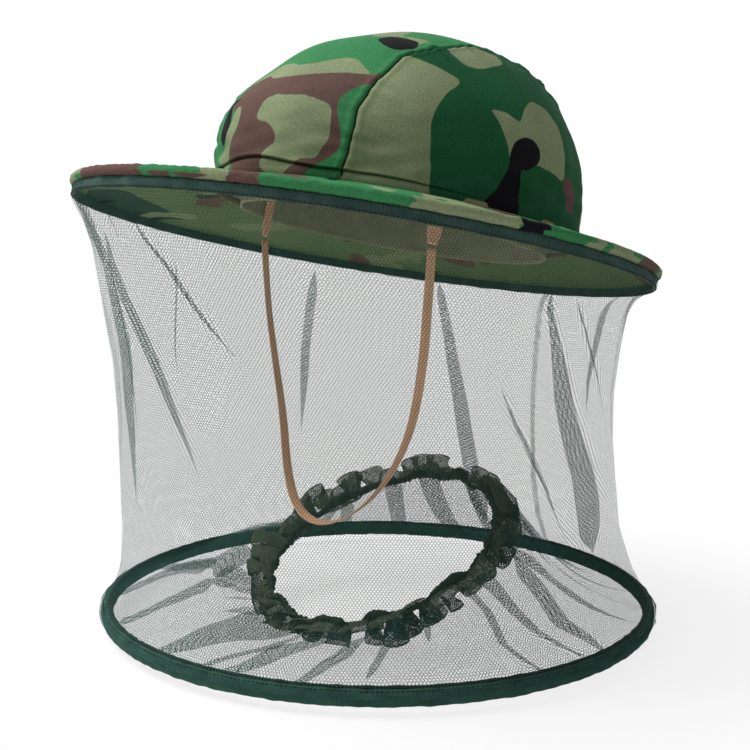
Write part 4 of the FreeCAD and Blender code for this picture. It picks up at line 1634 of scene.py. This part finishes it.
# ---------------------------------------------------------------- lower hoop
@dataclass
class LowerHoop:
    """The sprung ring at the veil's foot, bound in bias tape."""

    finishes: Finishes
    middle: np.ndarray = field(default_factory=lambda: middle_of("hoop_binding") - [0, 0, 0.9])
    radius: float = 166.6
    half_width: float = 3.5
    half_height: float = 4.6
    columns: int = 960

    def build(self) -> None:
        """Makes the binding, the sewing ridge on top and its stitches."""
        turn = around(self.columns)
        section = around(26)[:, None]
        side, up = np.cos(section), np.sin(section)
        x, y, _ = ring(turn, self.radius, 0.0).T
        creases = Ripple(27, 8.0, 20.0)(x[None], y[None], 14 * up)
        swell = 0.12 * creases + 0.1 * np.sin(turn[None] * 118 + 2.2 * side)
        reach = self.radius + (self.half_width * squared_off(side, 0.72) + swell * side)
        height = self.half_height * squared_off(up, 0.8) + swell * up
        chart = laid_flat(wrapped(self.columns, self.radius), wrapped(26, 4.9))
        points = ring(turn, reach, height) + self.middle
        tape = sew("hoop_binding_tape", points, closed=True, tube=True, chart=chart)
        join_up(tape, Body.HOOP, "green_binding", "hoop_binding", finish=self.finishes.hoop_tape)
        self.sewing_line(turn)

    def sewing_line(self, turn: np.ndarray) -> None:
        """Makes the narrow seam ridge along the ring's upper inner edge, with its stitches.

        Args:
            turn: Angles once round.
        """
        section = around(12)[:, None]
        x, y, _ = ring(turn, self.radius, 0.0).T
        wave = Ripple(28, 6.0, 14.0)(x, y)[None]
        reach = self.radius - 1.2 + (1.3 + 0.15 * wave) * np.cos(section)
        height = self.half_height + 0.35 + (0.9 + 0.1 * wave) * np.sin(section)
        chart = laid_flat(wrapped(self.columns, self.radius), wrapped(12, 1.1))
        points = ring(turn, reach, height) + self.middle
        ridge = sew("hoop_seam_ridge", points, closed=True, tube=True, chart=chart)
        join_up(ridge, Body.HOOP, "green_binding", "hoop_seam_tape", finish=self.finishes.dark_thread)
        line = ring(turn, self.radius + 2.3, self.half_height - 0.5) + self.middle
        row = StitchRow("hoop_stitches", line, 2.6, 2.4, 0.7)
        join_up(row.sewn(self.finishes.dark_thread), Body.HOOP, "green_binding")


# ---------------------------------------------------------------- skirt
SKIRT_FOLDS = (
    Fold(
        ((230, 0, 0.35), (222, 0.4, 0.65), (210, 0.6, 1), (204, 0.83, 0.8), (203, 1, 0.8)),
        4.2, 11.5, 0.05, 0.02,
    ),
    Fold(
        ((249, 0, 0.3), (241, 0.43, 0.7), (229.5, 0.72, 1), (224, 0.92, 0.85), (223, 1, 0.8)),
        4.0, 11.0, 0.05, 0.02,
    ),
    Fold(
        ((269.5, 0, 0.12), (271, 0.2, 0.45), (269.5, 0.48, 0.8), (268, 0.72, 1), (267, 1, 1)),
        8.2, 21.5, 0.05, 0.02,
    ),
    Fold(((282, 0, 0.6), (283, 0.25, 0.8), (284, 0.53, 1), (285, 0.8, 0.8)), 1.5, 4.0, 0.05, 0.2, 0.8),
    Fold(
        ((287, 0, 0.3), (290.5, 0.21, 0.5), (292, 0.42, 0.75), (295, 0.6, 1), (297, 1, 0.8)),
        4.7, 12.5, 0.05, 0.02,
    ),
    Fold(((302, 0, 0.4), (304.5, 0.36, 0.8), (307.5, 0.47, 1), (311, 1, 1)), 2.2, 6.0, 0.05, 0.02, 1.0),
    Fold(
        ((314.5, 0.1, 0.6), (315.5, 0.25, 0.7), (317.5, 0.56, 0.9), (321.5, 1, 1)),
        1.6, 4.2, 0.2, 0.02, 0.8,
    ),
    Fold(((329, 0.45, 0.5), (331, 0.86, 1), (331.5, 1, 1)), 1.5, 4.0, 0.2, 0.02, 0.8),
    Fold(
        ((351, 0, 0.7), (348.5, 0.17, 0.9), (347, 0.35, 0.9), (349.5, 0.65, 1), (350, 1, 1)),
        2.0, 5.4, 0.05, 0.02,
    ),
    Fold(
        ((363, 0, 0.35), (359.5, 0.15, 0.7), (356.5, 0.35, 0.85), (356, 0.58, 1), (358, 1, 1)),
        2.9, 7.8, 0.05, 0.02,
    ),
    Fold(
        ((368, 0, 0.35), (369, 0.2, 0.8), (367, 0.36, 0.9), (372.5, 0.6, 1), (380, 1, 0.9)),
        4.2, 11.4, 0.05, 0.02,
    ),
)


@dataclass
class Skirt:
    """The net from the hoop in to the collar, gathered as it goes; eight gores edge to edge."""

    finishes: Finishes
    hoop: LowerHoop
    collar: "Collar"
    gores: int = 8
    columns: int = 200
    rows: int = 64
    outer_radius: float = 166.0
    depth: float = 84.0
    cloth_depth: float = 92.0
    bend: tuple[float, float] = (120.0, 86.0)

    def surface(self, turn: np.ndarray, share: np.ndarray) -> tuple[np.ndarray, np.ndarray]:
        """Points of the skirt, with its folds and gathers.

        Args:
            turn: Angles of the cloth, in radians.
            share: 0 at the hoop and 1 at the collar.

        Returns:
            Points in the part's frame, and how closely each is bunched.
        """
        radius = self.outer_radius - self.depth * share
        draw = np.random.default_rng(31)
        folds = list(SKIRT_FOLDS)
        for degrees in np.arange(24, 212, 15):
            at = degrees + draw.uniform(-5, 5)
            lean = draw.uniform(-6, 6)
            wide = draw.uniform(2.4, 4.4)
            path = ((at, 0, 0.4), (at + lean / 2, 0.5, 0.8), (at + lean, 1, 1))
            folds.append(Fold(path, wide, 2.6 * wide, 0.05, 0.02))
        along, rise, bunched = folded(tuple(folds), turn, share, radius)
        x, y, _ = np.moveaxis(ring(turn, 130.0, 0.0), -1, 0)
        arched = np.sin(share * math.pi)
        gathered = smooth_step(0.45, 0.95, share) * smooth_step(1.0, 0.9, share)
        rise = rise + 2.6 * Ripple(32, 26.0, 60.0)(x, y, 20 * share) * arched
        rise += 1.9 * Ripple(33, 8.0, 15.0)(x, y, 8 * share) * gathered
        moved = turn + along / radius
        foot = ring(moved, self.hoop.radius - 3.4, 1.5) + self.hoop.middle
        behind = np.clip(np.sin(turn), 0, 1)
        head = self.collar.ring(moved, self.collar.skirt_radius, -1.0 - 3.5 * behind)
        level = share[..., None]
        points = foot * (1 - level) + head * level
        points[..., 2] += rise + (3.0 - 20.0 * behind) * arched
        return points, bunched

    def build(self) -> None:
        """Makes the gores, each a piece of cloth of its own."""
        wide = TURN / self.gores
        for number in range(self.gores):
            start = wide * (number - 0.5)
            turns = start + np.linspace(0, wide, self.columns)
            turn, share = np.meshgrid(turns, np.linspace(0, 1, self.rows))
            points, bunched = self.surface(turn, share)
            chart = np.stack([turn * self.hoop.radius, share * self.cloth_depth], -1)
            name = f"skirt_gore_{number + 1}"
            gore = sew(name, points, chart=chart, marks={"hem": 0.2 * bunched}, outward=(0, -15, -400))
            dress(gore, self.finishes.net)
            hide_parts("skirt_net")
            ray = ring(start + wide / 2, 1.0, 0.0)
            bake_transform(gore)
            LOG.info("%s is gathered between hoop and collar", name)


# ---------------------------------------------------------------- collar
@dataclass
class Collar:
    """The elastic neck collar: a ruched casing with a frill of bunched net around it."""

    finishes: Finishes
    degrees: float = 26.0
    middle: np.ndarray = field(default_factory=lambda: middle_of("collar_casing"))
    drop: float = 5.5
    inner_radius: float = 71.0
    skirt_radius: float = 83.0
    casing_cloth_radius: float = 160.0
    frill_cloth_radius: float = 260.0
    frill_cloth_depth: float = 15.0
    columns: int = 1200
    table: float = float(CAD_BOX[0][2]) / MM + 0.3

    def ring(self, turn: np.ndarray, radius: Values, height: Values) -> np.ndarray:
        """Points on a ring about the collar's middle, at a height above its plane."""
        place = Tilt(tuple(self.middle - np.array([0, 0, self.drop])), self.degrees)
        return place.out(ring(turn, radius, height))

    def build(self) -> None:
        """Makes the casing and the two layers of the frill."""
        turn = around(self.columns)
        section = around(20)[:, None]
        x, y, _ = ring(turn, 74.0, 0.0).T
        ridges, bunches, twist = (
            Ripple(seed, *lengths)(x, y)[None]
            for seed, lengths in ((41, (2.6, 5.0)), (42, (14.0, 34.0)), (43, (20.0, 40.0)))
        )
        size = 1.9 * (1 + 0.34 * ridges * np.abs(np.cos(section)) + 0.26 * bunches)
        radius = self.inner_radius + 3.0 + size * 0.95 * np.cos(section) + 0.9 * twist
        points = self.ring(turn, radius, size * 1.25 * np.sin(section) + 0.9 * bunches)
        chart = laid_flat(wrapped(self.columns, self.casing_cloth_radius), wrapped(20, 3.6))
        casing = sew("collar_ruche", points, closed=True, tube=True, chart=chart)
        nodes = ("collar_casing", "collar_elastic", "collar_elastic_join")
        join_up(casing, Body.COLLAR, "green_binding", *nodes, finish=self.finishes.casing)
        self.frill("collar_frill_upper", 44, 1.0, 27)
        self.frill("collar_frill_lower", 45, -1.0, 33)

    def frill(self, name: str, seed: int, side: float, waves: int) -> None:
        """Makes one layer of the frill: bunched loops that lean over one another.

        Args:
            name: Name of the piece.
            seed: Seed of its unevenness.
            side: 1 for the upper layer, -1 for the lower.
            waves: Number of loops round the collar.
        """
        turn, share = np.meshgrid(around(self.columns), np.linspace(0, 1, 22))
        x, y, _ = np.moveaxis(ring(turn, 80.0, 0.0), -1, 0)
        phase = turn * waves + 2.4 * Ripple(seed, 30.0, 90.0)(x, y)
        full = 1 + 0.35 * Ripple(seed + 5, 25.0, 70.0)(x, y)
        swing = np.sin(share * math.pi / 2) * full
        height = side * 2.4 * share + 6.0 * swing * np.sin(phase)
        slide = -4.2 * swing * np.sin(2 * phase)
        long = 14.5 + 3.6 * Ripple(seed + 3, 24.0, 60.0)(x, y) + 2.6 * full * np.cos(phase + 0.6)
        trimmed = 1 - 0.35 * np.clip(np.sin(turn), 0, 1)
        reach = self.inner_radius + 3.0 + share * np.clip(long, 6.0, 21.0) * trimmed
        crinkle = 0.5 * Ripple(seed + 9, 6.0, 12.0)(x, y, 20 * share) * share
        points = self.ring(turn + slide / 82, reach, height + crinkle)
        level = points[..., 2]
        points[..., 2] = np.where(level < self.table, self.table + 0.12 * (self.table - level), level)
        depth = self.frill_cloth_depth * share[:, 0]
        chart = laid_flat(wrapped(self.columns, self.frill_cloth_radius), depth)
        hem = {"hem": smooth_step(0.9, 0.93, share)}
        layer = sew(name, points, closed=True, chart=chart, marks=hem, outward=(0, -13, -500))
        join_up(layer, Body.COLLAR, "green_net", "collar_frill", finish=self.finishes.ruche)


# ---------------------------------------------------------------- chin strap
STRAP_ROUTE = (
    (0.075415, -0.044820, -0.013856),
    (0.0734, -0.0454, -0.0460),
    (0.0680, -0.0440, -0.0840),
    (0.0585, -0.0442, -0.1230),
    (0.0405, -0.0490, -0.1550),
    (0.0175, -0.0550, -0.1755),
    (-0.0065, -0.0580, -0.1835),
    (-0.0295, -0.0565, -0.1780),
    (-0.0465, -0.0505, -0.1575),
    (-0.0575, -0.0445, -0.1240),
    (-0.0675, -0.0440, -0.0850),
    (-0.0732, -0.0452, -0.0465),
    (-0.075415, -0.044820, -0.013856),
)


@dataclass
class ChinStrap:
    """The flat elastic that hangs in a loop from the two tabs, under the chin."""

    finishes: Finishes
    half_width: float = 3.0
    half_thickness: float = 0.55
    length: float = 0.3997
    corners: int = 14

    def line(self) -> np.ndarray:
        """Points along the strap, from its smooth route.

        Returns:
            Points by 3, in metres.
        """
        curve = bpy.data.curves.new("strap_route", "CURVE")
        curve.dimensions = "3D"
        curve.resolution_u = 24
        spline = curve.splines.new("NURBS")
        spline.points.add(len(STRAP_ROUTE) - 1)
        for point, place in zip(spline.points, STRAP_ROUTE):
            point.co = (*place, 1.0)
        spline.order_u = 3
        spline.use_endpoint_u = True
        route = link("strap_route", curve)
        graph = bpy.context.evaluated_depsgraph_get()
        mesh = bpy.data.meshes.new_from_object(route.evaluated_get(graph))
        points = np.array([v.co for v in mesh.vertices])
        bpy.data.objects.remove(route)
        bpy.data.meshes.remove(mesh)
        return points

    def build(self) -> None:
        path = self.line()
        points = path / MM
        heading = np.gradient(points, axis=0)
        heading /= np.linalg.norm(heading, axis=1, keepdims=True)
        arc = arc_length(points)
        across = np.array([0.0, 1.0, 0.0]) - heading * heading[:, 1:2]
        across /= np.linalg.norm(across, axis=1, keepdims=True)
        face = np.cross(heading, across)
        twist = math.radians(16) * np.sin(arc / 400 * TURN * 1.3 + 0.5)[:, None]
        wide = across * np.cos(twist) + face * np.sin(twist)
        flat = -across * np.sin(twist) + face * np.cos(twist)
        angle = around(self.corners)[:, None]
        side = self.half_width * squared_off(np.cos(angle), 0.4)
        deep = self.half_thickness * squared_off(np.sin(angle), 0.8)
        body = capped(points[:, None] + wide[:, None] * side + flat[:, None] * deep)
        girth = np.linspace(0, 4 * self.half_width, self.corners + 1)
        chart = laid_flat(girth, np.concatenate([[0], arc, arc[-1:]]))[..., ::-1]
        strap = sew("chin_strap_ribbon", body, closed=True, chart=chart)
        remesh(strap, weld=True)
        remesh(strap, weld=False)
        join_up(strap, Body.STRAP, "strap_elastic", "chin_strap", finish=self.finishes.strap)


# ---------------------------------------------------------------- studio
@dataclass
class Studio:
    """Pale floor, soft light and the camera."""

    target: tuple[float, float, float] = (0.0038, -0.0217, -0.0941)
    azimuth: float = 48.0
    elevation: float = 7.98
    roll: float = 0.28
    distance: float = 0.789
    lens: float = 62.28

    def facing(self, azimuth: float, elevation: float, distance: float, roll: float = 0.0) -> Matrix:
        """Place of something around the target that looks at it.

        Args:
            azimuth: Degrees from the front towards the wearer's left.
            elevation: Degrees above the level.
            distance: Metres from the target.
            roll: Degrees about the line of sight.

        Returns:
            Its place and turn.
        """
        a, e = math.radians(azimuth), math.radians(elevation)
        back = Vector((math.sin(a) * math.cos(e), -math.cos(a) * math.cos(e), math.sin(e)))
        turn = back.to_track_quat("Z", "Y").to_matrix() @ Matrix.Rotation(math.radians(roll), 3, "Z")
        return Matrix.Translation(Vector(self.target) + back * distance) @ turn.to_4x4()

    def camera(self) -> None:
        """Places the camera and makes it the scene's own."""
        data = bpy.data.cameras.new("Camera")
        data.lens = self.lens
        data.sensor_width = 36.0
        data.clip_start = 0.01
        eye = link("Camera", data)
        eye.matrix_world = self.facing(self.azimuth, self.elevation, self.distance, self.roll)
        bpy.context.scene.camera = eye

    def lamp(
        self, name: str, azimuth: float, elevation: float, distance: float, size: float, power: float
    ) -> None:
        """Adds a square soft box that looks at the target.

        Args:
            name: Name of the lamp.
            azimuth: Degrees from the front towards the wearer's left.
            elevation: Degrees above the level.
            distance: Metres from the target.
            size: Side of the box, in metres.
            power: In watts.
        """
        data = bpy.data.lights.new(name, "AREA")
        data.energy = power
        data.size = size
        link(name, data).matrix_world = self.facing(azimuth, elevation, distance)

    def background(self, tree: bpy.types.NodeTree, dim: float) -> bpy.types.Node:
        """Strength that is 1 for what the eye sees, directly or mirrored, and dim for light.

        Args:
            tree: Tree that gets the nodes.
            dim: Strength for every other ray.

        Returns:
            The strength.
        """
        path = add_node(tree, "ShaderNodeLightPath").outputs
        seen = add_node(
            tree, MATH, {0: path["Is Camera Ray"], 1: path["Is Glossy Ray"]}, operation="MAXIMUM"
        )
        seen = add_node(tree, MATH, {0: seen, 1: path["Is Transmission Ray"]}, operation="MAXIMUM")
        return add_node(tree, RANGE, {0: seen, 3: dim, 4: 1.0})

    def world(self) -> None:
        """Makes a world that is white to the eye and gives a plain even light."""
        world = bpy.data.worlds.new("Studio")
        world.use_nodes = True
        tree = world.node_tree
        tree.nodes.clear()
        glow = {"Color": (1.0, 1.0, 1.0, 1.0), "Strength": self.background(tree, 0.32)}
        add_node(tree, "ShaderNodeOutputWorld", {"Surface": add_node(tree, "ShaderNodeBackground", glow)})
        bpy.context.scene.world = world

    def floor(self) -> None:
        """Makes the pale floor under the hoop, which the collar still shows through when it is let down."""
        low = float(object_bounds()[0][2]) - 0.002
        reach = 6.0
        corners = [(-reach, -reach, low), (reach, -reach, low), (reach, reach, low), (-reach, reach, low)]
        mesh = bpy.data.meshes.new("floor")
        mesh.from_pydata(corners, [], [(0, 1, 2, 3)])
        floor = link("floor", mesh)
        material, tree = new_material("Studio paper, white")
        paper = add_node(tree, "ShaderNodeBsdfDiffuse", {"Color": (0.85, 0.85, 0.85, 1.0)})
        clear = add_node(tree, "ShaderNodeBsdfTransparent")
        place = add_node(tree, "ShaderNodeTexCoord").outputs["Object"]
        away = add_node(tree, VECTOR, {0: place}, operation="LENGTH").outputs["Value"]
        fade = add_node(tree, RANGE, {0: away, 1: 0.24, 2: 0.42, 3: 0.72, 4: 1.0})
        eye = add_node(tree, "ShaderNodeLightPath").outputs["Is Camera Ray"]
        share = add_node(tree, MATH, {0: fade, 1: eye}, operation="MULTIPLY")
        mix = add_node(tree, "ShaderNodeMixShader", {0: share, 1: paper, 2: clear})
        add_node(tree, "ShaderNodeOutputMaterial", {"Surface": mix})
        mesh.materials.append(material)
        floor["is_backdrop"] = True

    def build(self) -> None:
        """Sets up the whole studio."""
        bpy.context.scene.view_settings.view_transform = "Standard"
        bpy.context.scene.cycles.transparent_max_bounces = 28
        self.camera()
        self.world()
        self.floor()
        self.lamp("Key", -50, 52, 2.2, 1.4, 66)
        self.lamp("Fill", 80, 25, 2.4, 1.8, 5)
        self.lamp("Back", 215, 40, 2.4, 1.6, 4)


# ---------------------------------------------------------------- assembly
def dress_metal(finishes: Finishes) -> None:
    """Gives the wires and their crimped sleeves, which stay as they are, their steel."""
    for node in ("brim_wire", "brim_wire_ferrule", "hoop_steel", "hoop_ferrule"):
        dress(frame["nodes"][node], finishes.steel)


def main() -> None:
    """Builds every piece in order."""
    logging.basicConfig(level=logging.INFO, format="%(name)s: %(message)s")
    finishes = Finishes.made()
    dress_metal(finishes)
    Crown(finishes).build()
    Sweatband(finishes).build()
    Brim(finishes).build()
    hoop = LowerHoop(finishes)
    hoop.build()
    Veil(finishes, hoop).build()
    collar = Collar(finishes)
    collar.build()
    Skirt(finishes, hoop, collar).build()
    ChinStrap(finishes).build()
    Studio().build()


if __name__ == "__main__":
    main()
